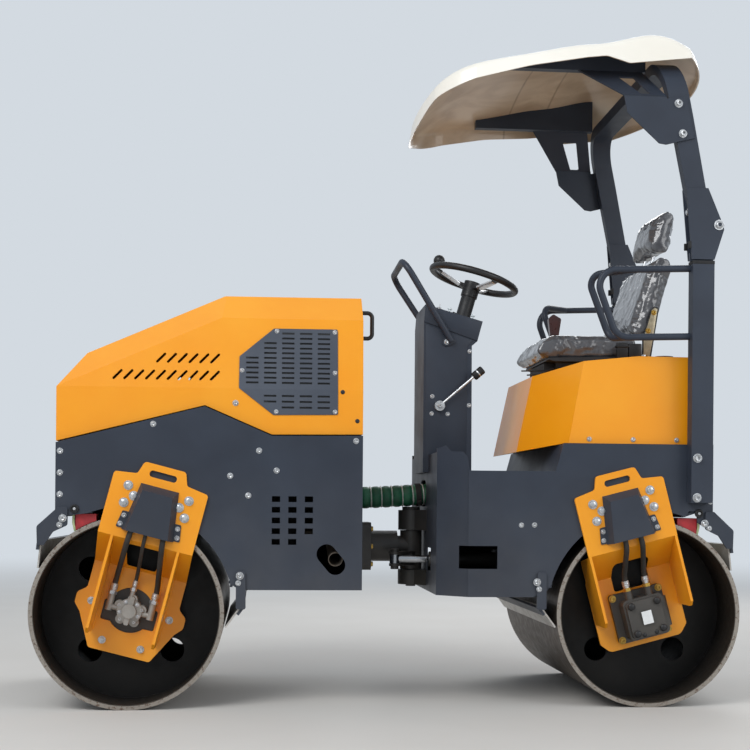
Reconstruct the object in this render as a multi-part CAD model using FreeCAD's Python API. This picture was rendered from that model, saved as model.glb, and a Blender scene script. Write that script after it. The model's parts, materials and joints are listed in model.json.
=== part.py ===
"""Ride-on articulated tandem roller: two steel drums, engine frame in front, driver's frame behind.

+X points to the rear, +Z up. The origin is on the ground, midway between the drums and on the centre plane.
All sizes are in millimetres. Angles are in degrees.
"""
import math
import os

import FreeCAD
import Part

V = FreeCAD.Vector
X_AXIS, Y_AXIS, Z_AXIS = V(1, 0, 0), V(0, 1, 0), V(0, 0, 1)

# Drums
WHEELBASE = 1930.0
DRUM_RADIUS = 350.0
DRUM_WIDTH = 1000.0
DRUM_WALL = 18.0
WEB_FACE = 312.0            # half distance between the outer faces of a drum's two webs
WEB_PLATE = 14.0
HUB_RADIUS = 95.0
HUB_LENGTH = 22.0
WEB_HOLE_RADIUS = 45.0
WEB_HOLE_CIRCLE = 215.0
STUB_RADIUS = 40.0          # drive motor's shaft, on which the drum turns
RUNNING_FIT = 0.05          # radial clearance of shafts and pins
SEAT_GAP = 0.3              # distance at which a loose face rests beside its seat

# Sheet metal frames
SIDE_MARGIN = 5.0
HALF_WIDTH = DRUM_WIDTH / 2 + SIDE_MARGIN   # centre plane to the outer face of the frame sides
FRAME_PLATE = 8.0
ARCH_RADIUS = 388.0         # frame side's cut-out round the drum
ARCH_PLATE = 6.0
FRONT_END = -1221.0
FRONT_REAR = -113.5
FRONT_SKID = 436.0          # underside of the front frame
FRONT_NOSE = 697.0          # lower edge of the front frame ahead of the drum
REAR_FRONT = 175.0
REAR_BEND = 283.0           # where the rear frame's sides turn inwards
REAR_END = 1207.0
REAR_SKID = 412.0
REAR_NOSE_HALF = HALF_WIDTH - 105.0
REAR_TAIL = 749.0
FLOOR_TOP = 880.0
TOE_TOP = 962.0
REAR_DECK = 986.0
DECK_HALF = HALF_WIDTH - 25.0   # half-width of the seat box where it stands on the deck

# Front frame's upper edge: distance along X and height of each corner
SHOULDER_LINE = ((FRONT_END, 966.0), (-691.0, 1103.0), (-447.0, 999.0), (FRONT_REAR, 1003.0))
SEAL_GAP = 5.5              # hood's lower edge above that line
SEAT_FLANGE = 34.0

# Hood
HOOD_SHEET = 3.0
HOOD_HALF = HALF_WIDTH - 27.0
WAIST = 1171.0
CHAMFER_LOW = 1432.0
CHAMFER_LOW_HALF = HOOD_HALF - 22.0
ROOF_HALF = HOOD_HALF - 128.0
HOOD_TOP = 1530.0
HOOD_HINGE = (-1226.0, 961.0)
HINGE_PLACES = (-300.0, 300.0)
HINGE_LENGTH = 90.0
HINGE_PIN = 5.0

# Yellow plates that carry the drums, in their own plane: u across, v up, from the drum's axis
PLATE_TILT = 14.5
PLATE_SHEET = 10.0
PLATE_HALF = 174.0
PLATE_INNER = WEB_FACE + 40.0   # inner face of the lower flat, from the centre plane
JOGGLE_TOP, JOGGLE_FOOT = 262.0, 150.0
COVER_DEPTH = 42.0
MOTOR_SHAFT_MOUNT = 56.0
RING_RADIUS, RING_DEPTH = 110.0, 12.0
FRONT_HOSES, REAR_HOSES = (-78.0, -6.0, 78.0), (-38.0, 40.0)   # u of each hose
FRONT_PORT, REAR_PORT = 24.0, 60.0      # depth of the hoses' ports outside the plate's flat
HOSE_RADIUS, DRAIN_HOSE_RADIUS = 10.0, 7.0
MOTOR_CORE, LOBE_CIRCLE, LOBE_RADIUS = 46.0, 44.0, 18.0

# Centre joint: an upright pin between two lugs, and a level shaft on which the front frame rolls
PIVOT_X = 125.0
LUG_LOW, LUG_HIGH = (430.0, 490.0), (650.0, 730.0)
LUG_RADIUS = 52.0
LUG_SPREAD = 110.0          # half-width of a lug at the rear frame's wall
PIN_RADIUS = 20.0
PIN_CAP = 14.2              # the air hose rests on the pin's cap
LINK_GAP = 2.0
LINK_RADIUS = 44.0
ROLL_AXIS_Z = 584.0
HOUSING_RADIUS, HOUSING_BORE = 62.0, 42.0
HOUSING_FRONT, HOUSING_REAR = -46.0, 66.0
BRACKET_HALF, BRACKET_PLATE = 120.0, 24.0

# Steering cylinder, level; its rod pushes an arm on the joint's link
ARM_REACH = 165.0
ARM_PIN_X = 42.0
ARM_TIP = 22.0
ARM_PLATE = 10.0
ARM_GAP = 1.0
CYLINDER_Z = 538.0
BARREL_FRONT, BARREL_PIVOT_X = 178.0, 492.0
BARREL_RADIUS, ROD_RADIUS = 30.0, 14.0
ROD_INSIDE = 136.0          # length of rod inside the barrel
BORE_DEPTH = 240.0
EYE_RADIUS, EYE_HEIGHT = 20.0, 34.0
BARREL_EYE, BARREL_PIN = 28.0, 12.0

# Driver's place
CONSOLE_HALF = 150.0
STEERING_TILT = 16.0
STEERING_CENTRE = (375.0, 1672.0)
STEERING_RADIUS, RIM_RADIUS = 174.0, 14.0
SEAT_HALF = 240.0

# Roll-over frame and canopy
POST_SETBACK = 101.0        # front face of the post ahead of the frame's end
POST_X, POST_DEPTH, POST_SIDE = REAR_END - POST_SETBACK, 82.0, 50.0
POST_FOOT = 767.0
SPLIT_Z = 1668.0
FOLD_PIVOT = (POST_X + 98.0, SPLIT_Z + 133.0)
FOLD_BOLT = 10.0
HOOP_LEAN = 11.5
HOOP_TOP = 2433.0
HOOP_BEND = 150.0
HOOP_SIDE, HOOP_DEPTH = 38.0, 80.0
SIDE_RAIL = 13.0
BRACKET_SHEET = 6.0
BRACKET_FOLD = 2275.0       # height at which the canopy brackets turn inwards
RAIL_HALF, RAIL_WIDTH = 395.0, 34.0
RAIL_UNDER = 2406.0
RAIL_LENGTH = 521.0
CANOPY_HALF = HALF_WIDTH + 47.0
CANOPY_SKIN = 6.0
CANOPY_NOSE, CANOPY_TAIL = 109.0, 1257.0
CANOPY_LEAN = 10.0          # lean of the lip that runs round the canopy
CANOPY_ROUND = 28.0         # radius between the lip and the roof

# Hose that carries air and oil lines across the joint
AIR_HOSE_RADIUS = 44.0
AIR_HOSE_LINE = ((-126.0, 776.0), (125.0, 790.0), (214.0, 797.0))
AIR_HOSE_PITCH = 42.0

os.makedirs("parts", exist_ok=True)


# Basic forms


def box(x0, x1, y0, y1, z0, z1):
    """Block between two corners."""
    return Part.makeBox(x1 - x0, y1 - y0, z1 - z0, V(x0, y0, z0))


def outline(corners, place):
    """Face through (a, b) or (a, b, radius) corners; place turns (a, b) into a point in space."""
    flat = [(V(c[0], c[1], 0), c[2] if len(c) > 2 else 0.0) for c in corners]
    edges, last = [], None
    stops = []
    for i, (corner, radius) in enumerate(flat):
        if radius == 0:
            stops.append((corner, None, corner))
            continue
        back = (flat[i - 1][0] - corner).normalize()
        ahead = (flat[(i + 1) % len(flat)][0] - corner).normalize()
        half = back.getAngle(ahead) / 2
        reach = radius / math.tan(half)
        middle = corner + (back + ahead).normalize() * (radius / math.sin(half) - radius)
        stops.append((corner + back * reach, middle, corner + ahead * reach))
    for i, (start, middle, end) in enumerate(stops):
        last = stops[i - 1][2]
        if last.distanceToPoint(start) > 1e-6:
            edges.append(Part.makeLine(place(last.x, last.y), place(start.x, start.y)))
        if middle is not None:
            edges.append(Part.Arc(place(start.x, start.y), place(middle.x, middle.y),
                                  place(end.x, end.y)).toShape())
    return Part.Face(Part.Wire(Part.__sortEdges__(edges)))


def side_plate(corners, y0, y1):
    """Outline in X and Z, extruded from y0 to y1."""
    return outline(corners, lambda a, b: V(a, y0, b)).extrude(V(0, y1 - y0, 0))


def cross_plate(corners, x0, x1):
    """Outline in Y and Z, extruded from x0 to x1."""
    return outline(corners, lambda a, b: V(x0, a, b)).extrude(V(x1 - x0, 0, 0))


def floor_plate(corners, z0, z1):
    """Outline in X and Y, extruded from z0 to z1."""
    return outline(corners, lambda a, b: V(a, b, z0)).extrude(V(0, 0, z1 - z0))


def rod(start, end, radius):
    """Round bar between two points."""
    start, end = V(*start), V(*end)
    return Part.makeCylinder(radius, (end - start).Length, start, end - start)


def pipe(points, radius, bend, wall=0.0):
    """Round tube through points, bent to one radius at the corners."""
    points = [V(*p) for p in points]
    edges, last = [], points[0]
    for before, corner, after in zip(points, points[1:], points[2:]):
        back, ahead = (before - corner).normalize(), (after - corner).normalize()
        half = back.getAngle(ahead) / 2
        reach = bend / math.tan(half)
        start, end = corner + back * reach, corner + ahead * reach
        middle = corner + (back + ahead).normalize() * (bend / math.sin(half) - bend)
        if last.distanceToPoint(start) > 1e-6:
            edges.append(Part.makeLine(last, start))
        edges.append(Part.Arc(start, middle, end).toShape())
        last = end
    edges.append(Part.makeLine(last, points[-1]))
    path = Part.Wire(edges)
    ring = Part.Wire(Part.makeCircle(radius, points[0], points[1] - points[0]))
    tube = path.makePipeShell([ring], True, False)
    if wall:
        bore = Part.Wire(Part.makeCircle(radius - wall, points[0], points[1] - points[0]))
        tube = tube.cut(path.makePipeShell([bore], True, False))
    return tube


def fuse(first, *others):
    """One clean solid from touching pieces."""
    return first.multiFuse(list(others)).removeSplitter()


def mirrored(shape):
    """The same piece on the machine's other side."""
    return shape.mirror(V(0, 0, 0), Y_AXIS)


def pair(shape):
    """A piece and its mirror image, as two solids."""
    return Part.makeCompound([shape, mirrored(shape)])


def placed(shape, stand):
    """The shape carried by a placement, its surfaces kept exact."""
    moved = shape.copy()
    moved.Placement = stand.multiply(moved.Placement)
    return moved


def cut_beyond(shape, point, normal):
    """Shape without what lies past a plane."""
    slab = Part.makeBox(6000, 6000, 3000, V(-3000, -3000, 0))
    slab.Placement = FreeCAD.Placement(V(*point), FreeCAD.Rotation(Z_AXIS, V(*normal)))
    return shape.cut(slab)


def arch_angle(z):
    """Angle on the arch's circle, from the horizontal, at a height."""
    return math.degrees(math.asin((z - DRUM_RADIUS) / ARCH_RADIUS))


# Drums: a bare steel shell, two webs and the hubs that turn on the drive motors' shafts


def drum(axle_x):
    """One drum, turned about its axle."""
    half = DRUM_WIDTH / 2
    shell = Part.makeCylinder(DRUM_RADIUS, DRUM_WIDTH, V(axle_x, -half, DRUM_RADIUS), Y_AXIS)
    shell = shell.cut(Part.makeCylinder(DRUM_RADIUS - DRUM_WALL, DRUM_WIDTH,
                                        V(axle_x, -half, DRUM_RADIUS), Y_AXIS))
    webs = []
    for side in (-1, 1):
        outer = V(axle_x, side * WEB_FACE, DRUM_RADIUS)
        web = Part.makeCylinder(DRUM_RADIUS - DRUM_WALL, WEB_PLATE, outer, Y_AXIS * -side)
        hub = Part.makeCylinder(HUB_RADIUS, HUB_LENGTH + WEB_PLATE,
                                outer - Y_AXIS * side * WEB_PLATE, Y_AXIS * side)
        web = web.fuse(hub)
        for turn in range(45, 405, 90):
            x = axle_x + WEB_HOLE_CIRCLE * math.cos(math.radians(turn))
            z = DRUM_RADIUS + WEB_HOLE_CIRCLE * math.sin(math.radians(turn))
            web = web.cut(rod((x, -DRUM_WIDTH, z), (x, DRUM_WIDTH, z), WEB_HOLE_RADIUS))
        bore = rod((axle_x, -DRUM_WIDTH, DRUM_RADIUS), (axle_x, DRUM_WIDTH, DRUM_RADIUS),
                   STUB_RADIUS + RUNNING_FIT)
        webs.append(web.cut(bore))
    return fuse(shell, *webs)


# Yellow drum plates: flat above on the frame side, joggled inwards to the motor below


def plate_frame(axle_x, lean):
    """Placement that turns plate coordinates (u, y, v) into the machine's."""
    turn = FreeCAD.Rotation(Y_AXIS, PLATE_TILT * lean)
    return FreeCAD.Placement(V(axle_x, 0, DRUM_RADIUS), turn)


PLATE_EDGE = (
    # u, v, corner radius
    (-PLATE_HALF, 488, 12), (-92, 500, 12), (-76, 548, 14), (76, 548, 14), (92, 500, 12),
    (PLATE_HALF, 488, 12),
)
FRONT_FOOT = (
    (PLATE_HALF, 46, 20), (206, 20, 20), (206, -20, 20), (180, -48, 12), (116, -170, 12),
    (-116, -170, 12), (-180, -48, 12), (-206, -20, 20), (-206, 20, 20), (-PLATE_HALF, 46, 20),
)
REAR_FOOT = ((PLATE_HALF, -92, 12), (142, -128, 30), (-142, -128, 30), (-PLATE_HALF, -92, 12))
HANDLE_SLOT = ((-50, 500, 11), (50, 500, 11), (50, 524, 11), (-50, 524, 11))
FRONT_WINDOW = ((-54, 162, 10), (54, 162, 10), (66, 246, 16), (-66, 246, 16))
FRONT_SLOT = ((-101, -56, 8), (101, -56, 8), (101, 21, 8), (-101, 21, 8))
FRONT_EYE_RADIUS = 84.0
REAR_WINDOW = ((-72, 92, 10), (72, 92, 10), (72, 205, 20), (-72, 205, 20))


def drum_plate(foot, holes, eye_radius, fin_u, fin_span):
    """Left drum plate in plate coordinates, with its joggle, gussets and holes."""
    outer, inner = -HALF_WIDTH - PLATE_SHEET, -PLATE_INNER - PLATE_SHEET
    section = ((outer, 700), (outer, JOGGLE_TOP), (inner, JOGGLE_FOOT), (inner, -300),
               (inner + PLATE_SHEET, -300), (inner + PLATE_SHEET, JOGGLE_FOOT - 4),
               (outer + PLATE_SHEET, JOGGLE_TOP - 4), (outer + PLATE_SHEET, 700))
    strip = outline(section, lambda a, b: V(-300, a, b)).extrude(V(600, 0, 0))
    plate = strip.common(side_plate(PLATE_EDGE + foot, -700, -200))
    for hole in (HANDLE_SLOT, *holes):
        plate = plate.cut(side_plate(hole, -700, -200))
    plate = plate.cut(rod((0, -700, 0), (0, -200, 0), eye_radius))
    low, high = fin_span
    fin = outline(((outer, JOGGLE_TOP), (outer, low + 20), (outer + 25, low), (inner, low), (inner, high),),
                  lambda a, b: V(fin_u - 5, a, b)).extrude(V(10, 0, 0))
    return fuse(plate, fin, fin.mirror(V(0, 0, 0), X_AXIS))


def plate_cover():
    """Hose cover over the plate's upper half, a bevelled box with two bolted flanges."""
    back, front = -HALF_WIDTH - PLATE_SHEET, -HALF_WIDTH - PLATE_SHEET - COVER_DEPTH
    low = outline(((-96, 292), (96, 292), (70, 470), (-70, 470)), lambda a, b: V(a, back, b)).OuterWire
    high = outline(((-78, 292), (78, 292), (55, 446), (-55, 446)), lambda a, b: V(a, front, b)).OuterWire
    body = Part.makeLoft([low, high], True, True)
    low = outline(((-90, 290), (90, 290), (64, 464), (-64, 464)), lambda a, b: V(a, back, b)).OuterWire
    high = outline(((-72, 290), (72, 290), (50, 441), (-50, 441)), lambda a, b: V(a, front + 5, b)).OuterWire
    body = body.cut(Part.makeLoft([low, high], True, True))
    flange = side_plate(((-118, 296, 5), (-88, 296, 0), (-78, 358, 0), (-108, 358, 5)), back - 4, back)
    return fuse(body, flange, flange.mirror(V(0, 0, 0), X_AXIS))


def motor_ring():
    """Black mounting ring behind the front plate's flat, bolted to it at four ears."""
    back = -PLATE_INNER
    ring = rod((0, back, 0), (0, back + RING_DEPTH, 0), RING_RADIUS)
    bore = rod((0, back - 1, 0), (0, back + RING_DEPTH + 1, 0), STUB_RADIUS + SEAT_GAP)
    ears = [side_plate(((-170, -16, 10), (170, -16, 10), (170, 16, 10), (-170, 16, 10)), back,
                       back + RING_DEPTH),
            side_plate(((-95, -150, 12), (95, -150, 12), (95, -60, 12), (-95, -60, 12)), back,
                       back + RING_DEPTH)]
    return fuse(ring, *ears).cut(bore)


def stub_shaft():
    """Shaft that carries the drum's hub."""
    return rod((0, -PLATE_INNER, 0), (0, -WEB_FACE + WEB_PLATE + 12, 0), STUB_RADIUS)


def front_motor():
    """Radial piston motor: five cylinder lobes round the shaft, a cap, and a port elbow to each side."""
    base, face = -PLATE_INNER, -PLATE_INNER - PLATE_SHEET
    body = [rod((0, base, 0), (0, face - 40, 0), MOTOR_CORE), rod((0, face - 40, 0), (0, face - 58, 0), 26)]
    for turn in range(18, 378, 72):
        u, v = LOBE_CIRCLE * math.cos(math.radians(turn)), LOBE_CIRCLE * math.sin(math.radians(turn))
        body.append(rod((u, base, v), (u, face - 30, v), LOBE_RADIUS))
        body.append(rod((u, face - 30, v), (u, face - 36, v), 9))
    port_y = face - FRONT_PORT
    rib = side_plate(((-9, -52, 6), (9, -52, 6), (9, 56, 6), (-9, 56, 6)), face - 52, face - 30)
    across = rod((FRONT_HOSES[0], port_y, 0), (FRONT_HOSES[-1], port_y, 0), 11)
    elbows = [rod((u, port_y, -15), (u, port_y, 46), 13) for u in (FRONT_HOSES[0], FRONT_HOSES[-1])]
    drain = rod((FRONT_HOSES[1], port_y, 40), (FRONT_HOSES[1], port_y, 74), 9)
    return fuse(*body, rib, across, *elbows, drain, stub_shaft())


def rear_motor():
    """Gear motor: a square flange, a deep body with domed plugs at its corners and the ports on top."""
    face = -PLATE_INNER - PLATE_SHEET
    flange = side_plate(((-104, -106, 14), (104, -106, 14), (104, 86, 14), (-104, 86, 14)), face - 22, face)
    body = side_plate(((-74, -96, 20), (84, -96, 20), (84, 60, 20), (-74, 60, 20)), face - 82, face - 22)
    cap = side_plate(((-66, -88, 16), (70, -88, 16), (70, 52, 16), (-66, 52, 16)), face - 96, face - 82)
    plugs = [rod((u, face - 84, v), (u, face - 103, v), 14) for u in (-48, 54) for v in (-70, 36)]
    valve = rod((84, face - 58, -72), (84, face - 58, 42), 17)
    ports = [rod((u, face - REAR_PORT, 50), (u, face - REAR_PORT, 92), 15) for u in REAR_HOSES]
    mount = rod((0, face, 0), (0, -PLATE_INNER, 0), MOTOR_SHAFT_MOUNT)
    return fuse(flange, body, cap, *plugs, valve, *ports, mount, stub_shaft())


def motor_hose(u, port_top, port_depth, radius):
    """Hose from a drive motor's port up behind the plate's cover."""
    port_y, cover_y = -PLATE_INNER - PLATE_SHEET - port_depth, -HALF_WIDTH - PLATE_SHEET - COVER_DEPTH / 2 + 2
    line = ((u, port_y, port_top), (u, port_y, port_top + 52), (0.8 * u, cover_y, 262),
            (0.72 * u, cover_y, 330))
    return pipe(line, radius, 62)


# Scrapers: a spring-steel blade across each side of each drum, on a bracket at each frame side


# Distances along X are from the drum's axis, positive towards the joint
SCRAPERS = (
    # wiping edge, blade's back edge, outline of the arm at each end
    ((-314.0, 513.0), (-303.0, 612.0),
     ((-211, 734, 8), (-211, 668, 12), (-262, 644, 12), (-294, 596, 4), (-318, 596, 4),
                                       (-320, 664, 14), (-244, 734, 8))),
    ((352.0, 301.0), (410.0, 380.0), ((392, 505, 8), (426, 505, 8), (428, 366, 8), (392, 366, 8))),
)
BLADE = 6.0
HOLDER = 10.0
ARM_SHEET = 8.0


def scraper(edge, back, arm):
    """Blade, and the bar with its two arms that hold it."""
    edge, back = V(edge[0], 0, edge[1]), V(back[0], 0, back[1])
    along = (back - edge).normalize()
    away = V(along.z, 0, -along.x)
    if away.x * edge.x < 0:
        away = away * -1
    half = DRUM_WIDTH / 2

    def strip(start, end, near, far, width):
        corners = [start + away * near, end + away * near, end + away * far, start + away * far]
        return side_plate([(c.x, c.z) for c in corners], -width, width)

    blade = strip(edge, back, 0, BLADE, half - 4)
    bar = strip(back - along * 34, back, BLADE, BLADE + HOLDER, HALF_WIDTH)
    left = side_plate(arm, -HALF_WIDTH - ARM_SHEET, -HALF_WIDTH)
    return blade, fuse(bar, left, mirrored(left))


AXLES = {"front": -WHEELBASE / 2, "rear": WHEELBASE / 2}
nodes = {}

for end, axle_x in AXLES.items():
    nodes[end + "_drum"] = drum(axle_x)
    lean = 1 if end == "front" else -1
    stand = plate_frame(axle_x, lean)
    if end == "front":
        plate = drum_plate(FRONT_FOOT, (FRONT_WINDOW, FRONT_SLOT), FRONT_EYE_RADIUS, 122, (-103, 246))
        motor = front_motor()
        hoses = [motor_hose(u, 46, FRONT_PORT, HOSE_RADIUS) for u in (FRONT_HOSES[0], FRONT_HOSES[-1])]
        hoses.append(motor_hose(FRONT_HOSES[1], 74, FRONT_PORT, DRAIN_HOSE_RADIUS))
        nodes["front_motor_rings"] = pair(placed(motor_ring(), stand))
    else:
        plate = drum_plate(REAR_FOOT, (REAR_WINDOW,), MOTOR_SHAFT_MOUNT + SEAT_GAP, PLATE_HALF - 6,
                           (-12, 240))
        motor = rear_motor()
        hoses = [motor_hose(u, 92, REAR_PORT, HOSE_RADIUS) for u in REAR_HOSES]
    nodes[end + "_drum_plates"] = pair(placed(plate, stand))
    nodes[end + "_plate_covers"] = pair(placed(plate_cover(), stand))
    nodes[end + "_drive_motors"] = pair(placed(motor, stand))
    hoses = [placed(hose, stand) for hose in hoses]
    nodes[end + "_motor_hoses"] = Part.makeCompound(hoses + [mirrored(hose) for hose in hoses])


# Front frame


def arch_ring(axle_x, low_z, far_z, forward):
    """Curved guard over a drum, from a height on the inner side to a height on the outer side."""
    inner_turn = arch_angle(low_z)
    outer_turn = 180 - arch_angle(far_z)
    ring = Part.makeCylinder(ARCH_RADIUS + ARCH_PLATE, 2 * (HALF_WIDTH - FRAME_PLATE),
                             V(0, -HALF_WIDTH + FRAME_PLATE, 0), Y_AXIS)
    ring = ring.cut(Part.makeCylinder(ARCH_RADIUS, 2 * HALF_WIDTH, V(0, -HALF_WIDTH, 0), Y_AXIS))
    reach = 3 * ARCH_RADIUS
    wedge = outline(((0, 0),
                     (reach * math.cos(math.radians(inner_turn)), reach * math.sin(math.radians(inner_turn))),
                     (0, 2 * reach),
                     (reach * math.cos(math.radians(outer_turn)),
                      reach * math.sin(math.radians(outer_turn)))),
                    lambda a, b: V(a, -HALF_WIDTH, b)).extrude(V(0, 2 * HALF_WIDTH, 0))
    ring = ring.common(wedge)
    if not forward:
        ring = ring.mirror(V(0, 0, 0), X_AXIS)
    ring.translate(V(axle_x, 0, DRUM_RADIUS))
    return ring


def arch_face(axle_x):
    """Disc that cuts the frame side free of the drum."""
    return rod((axle_x, -HALF_WIDTH - 50, DRUM_RADIUS), (axle_x, HALF_WIDTH + 50, DRUM_RADIUS), ARCH_RADIUS)


def vent_holes():
    """Three columns of small windows low in the front frame's side."""
    holes = []
    for column, rows in enumerate((5, 5, 4)):
        for row in range(rows):
            x, z = -430 + 60 * column, 768 - 39 * row
            holes.append(box(x - 15, x + 15, -HALF_WIDTH - 10, HALF_WIDTH + 10, z - 10.5, z + 10.5))
    return Part.makeCompound(holes)


FRONT_AXLE, REAR_AXLE = AXLES["front"], AXLES["rear"]
ARCH_FOOT_Z = 455.0
PIPE_HOLE = (-228.0, 548.0)

front_side = side_plate(
    ((FRONT_END, FRONT_NOSE), (FRONT_AXLE - 135, 712), (FRONT_AXLE, 712), (FRONT_AXLE + 300, 560),
     (FRONT_AXLE + 374, ARCH_FOOT_Z), (-525, FRONT_SKID), (FRONT_REAR, FRONT_SKID), SHOULDER_LINE[3],
     SHOULDER_LINE[2], SHOULDER_LINE[1], SHOULDER_LINE[0]), -HALF_WIDTH, -HALF_WIDTH + FRAME_PLATE)
front_side = front_side.cut(arch_face(FRONT_AXLE)).cut(vent_holes())
stadium = side_plate(((-62, -36, 35.9), (62, -36, 35.9), (62, 36, 35.9), (-62, 36, 35.9)),
                     -HALF_WIDTH - 10, -HALF_WIDTH + 20)
stadium.rotate(V(0, 0, 0), Y_AXIS, 50)
stadium.translate(V(PIPE_HOLE[0], 0, PIPE_HOLE[1]))
flange = side_plate(SHOULDER_LINE + tuple((x, z - 5) for x, z in reversed(SHOULDER_LINE)),
                    -HALF_WIDTH + FRAME_PLATE, -HALF_WIDTH + FRAME_PLATE + SEAT_FLANGE)
front_side = fuse(front_side, flange)
nodes["front_side_left"] = front_side.cut(stadium)
nodes["front_side_right"] = mirrored(front_side)

inner_half = HALF_WIDTH - FRAME_PLATE
front_wall = box(FRONT_END, FRONT_END + FRAME_PLATE, -inner_half, inner_half, FRONT_NOSE,
                 SHOULDER_LINE[0][1] - 8)
rear_wall = box(FRONT_REAR - FRAME_PLATE, FRONT_REAR, -inner_half, inner_half, FRONT_SKID, 990)
belly = box(-560, FRONT_REAR, -inner_half, inner_half, FRONT_SKID, FRONT_SKID + FRAME_PLATE)
bearer_top = FRONT_SKID + 64
front_arch = arch_ring(FRONT_AXLE, ARCH_FOOT_Z, 716, True)
nose_floor = box(FRONT_END, FRONT_AXLE - 125, -inner_half, inner_half, 712, 718)
arch_toe = side_plate(((-596, 446), (-586, 446), (-578, 470), (-592, 470)), -inner_half, inner_half)
engine_bearer = [box(x - 30, x + 30, -inner_half, inner_half, FRONT_SKID + FRAME_PLATE, bearer_top)
                 for x in (-480, -360)]
hinge_x, hinge_z = HOOD_HINGE
frame_lugs = []
for y in HINGE_PLACES:
    lug = rod((hinge_x, y - HINGE_LENGTH / 4, hinge_z), (hinge_x, y + HINGE_LENGTH / 4, hinge_z),
              2 * HINGE_PIN)
    lug = lug.fuse(box(hinge_x, FRONT_END, y - HINGE_LENGTH / 4, y + HINGE_LENGTH / 4, hinge_z - 40, hinge_z))
    pin = rod((hinge_x, y - HINGE_LENGTH / 2, hinge_z), (hinge_x, y + HINGE_LENGTH / 2, hinge_z), HINGE_PIN)
    frame_lugs += [lug, pin]
    for side in (-1, 1):
        near, far = y + side * HINGE_LENGTH / 4, y + side * (HINGE_LENGTH / 2 + 2)
        front_wall = front_wall.cut(box(FRONT_END - 1, FRONT_END + 10, min(near, far), max(near, far),
                                        hinge_z - 16, hinge_z))
hose_hole = rod((-300, 0, 790), (300, 0, 790), 95)
nodes["front_chassis"] = fuse(front_wall, rear_wall, belly, front_arch, nose_floor, arch_toe, *engine_bearer,
                              *frame_lugs).cut(hose_hole)

engine = side_plate(((-600, 560), (-330, 560), (-330, 1180), (-690, 1180), (-690, 760)), -235, 235)
feet = [box(x - 25, x + 25, s * 200 - 30, s * 200 + 30, bearer_top, 560) for x in (-480, -360) for s in (-1,
                                                                                                         1)]
nodes["engine"] = fuse(engine, box(-640, -380, -150, 150, 1180, 1330), *feet)
nodes["exhaust_pipe"] = pipe(((PIPE_HOLE[0] + 18, -HALF_WIDTH + 21, PIPE_HOLE[1]),
                              (PIPE_HOLE[0] + 18, -130, 640),
                              (-330, -130, 640)), 27, 60, 3)


# Hood: folded sheet with a waist, leaning sides, chamfered shoulders and a wedge nose


def hood_form(inset, drop):
    """Outer hood block moved inwards by inset; drop lowers its underside."""
    top = [(FRONT_END - 3 + inset, 1169), (-1128 + inset, 1303), (-625 + inset / 4, HOOD_TOP - 3 - inset),
           (-112 - inset, HOOD_TOP - inset)]
    low = [(x, z + SEAL_GAP - drop) for x, z in reversed(SHOULDER_LINE)]
    low[0] = (-112 - inset, low[0][1])
    low[-1] = (FRONT_END - 3 + inset, low[-1][1] + 1)
    half = HOOD_HALF - inset
    form = side_plate(tuple(low) + tuple(top), -half, half)
    for side in (-1, 1):
        waist = V(-1223, side * HOOD_HALF, WAIST)
        fold = V(-632, side * CHAMFER_LOW_HALF, CHAMFER_LOW)
        edge = V(-625, side * ROOF_HALF, HOOD_TOP - 3)
        lean = V(0, side * (CHAMFER_LOW - WAIST), HOOD_HALF - CHAMFER_LOW_HALF).normalize()
        shoulder = V(0, side * (HOOD_TOP - CHAMFER_LOW), CHAMFER_LOW_HALF - ROOF_HALF).normalize()
        facet = (waist - fold).cross(edge - fold).normalize()
        if facet.z < 0:
            facet = facet * -1
        for point, normal in ((waist, lean), (fold, shoulder), (fold, facet)):
            form = cut_beyond(form, point - normal * inset, normal)
    return form


GRILLE = ((-568, 1173, 6), (-567, 1290, 6), (-442, 1395, 6), (-207, 1396, 6), (-205, 1080, 6),
          (-442, 1076, 6))
GRILLE_WINDOW = ((-548, 1180, 6), (-547, 1282, 6), (-434, 1375, 6), (-227, 1376, 6), (-225, 1100, 6),
                 (-436, 1097, 6))
# Slotted rows of each grille column, counted from the top row, above and below the waist fold
GRILLE_COLUMNS = ((5, 3, 3), (2, 3, 2), (0, 3, 3), (0, 3, 3), (0, 3, 3))
GRILLE_PITCH, GRILLE_ROW = 65.5, 18.3


def grille_slots():
    """Rows of short horizontal slots, fewer towards the grille's pointed front."""
    slots = []
    for column, (first, _, low_rows) in enumerate(GRILLE_COLUMNS):
        x = -520 + GRILLE_PITCH * column
        rows = [1377 - GRILLE_ROW * row for row in range(first, 11)]
        if column > 0:
            rows += [1146 - 21 * row for row in range(low_rows)]
        slots += [box(x - 22.5, x + 22.5, -700, 700, z - 3.5, z + 3.5) for z in rows]
    return Part.makeCompound(slots)


def hood_slots():
    """Two rows of slanted slots in the hood's flank."""
    slots = []
    for count, z in ((6, 1280), (10, 1217)):
        for i in range(count):
            x = -656 - 39 * i
            slot = side_plate(((-24, -4.5, 4.4), (24, -4.5, 4.4), (24, 4.5, 4.4), (-24, 4.5, 4.4)), -700, 700)
            slot.rotate(V(0, 0, 0), Y_AXIS, -46)
            slot.translate(V(x, 0, z))
            slots.append(slot)
    return Part.makeCompound(slots)


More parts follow.
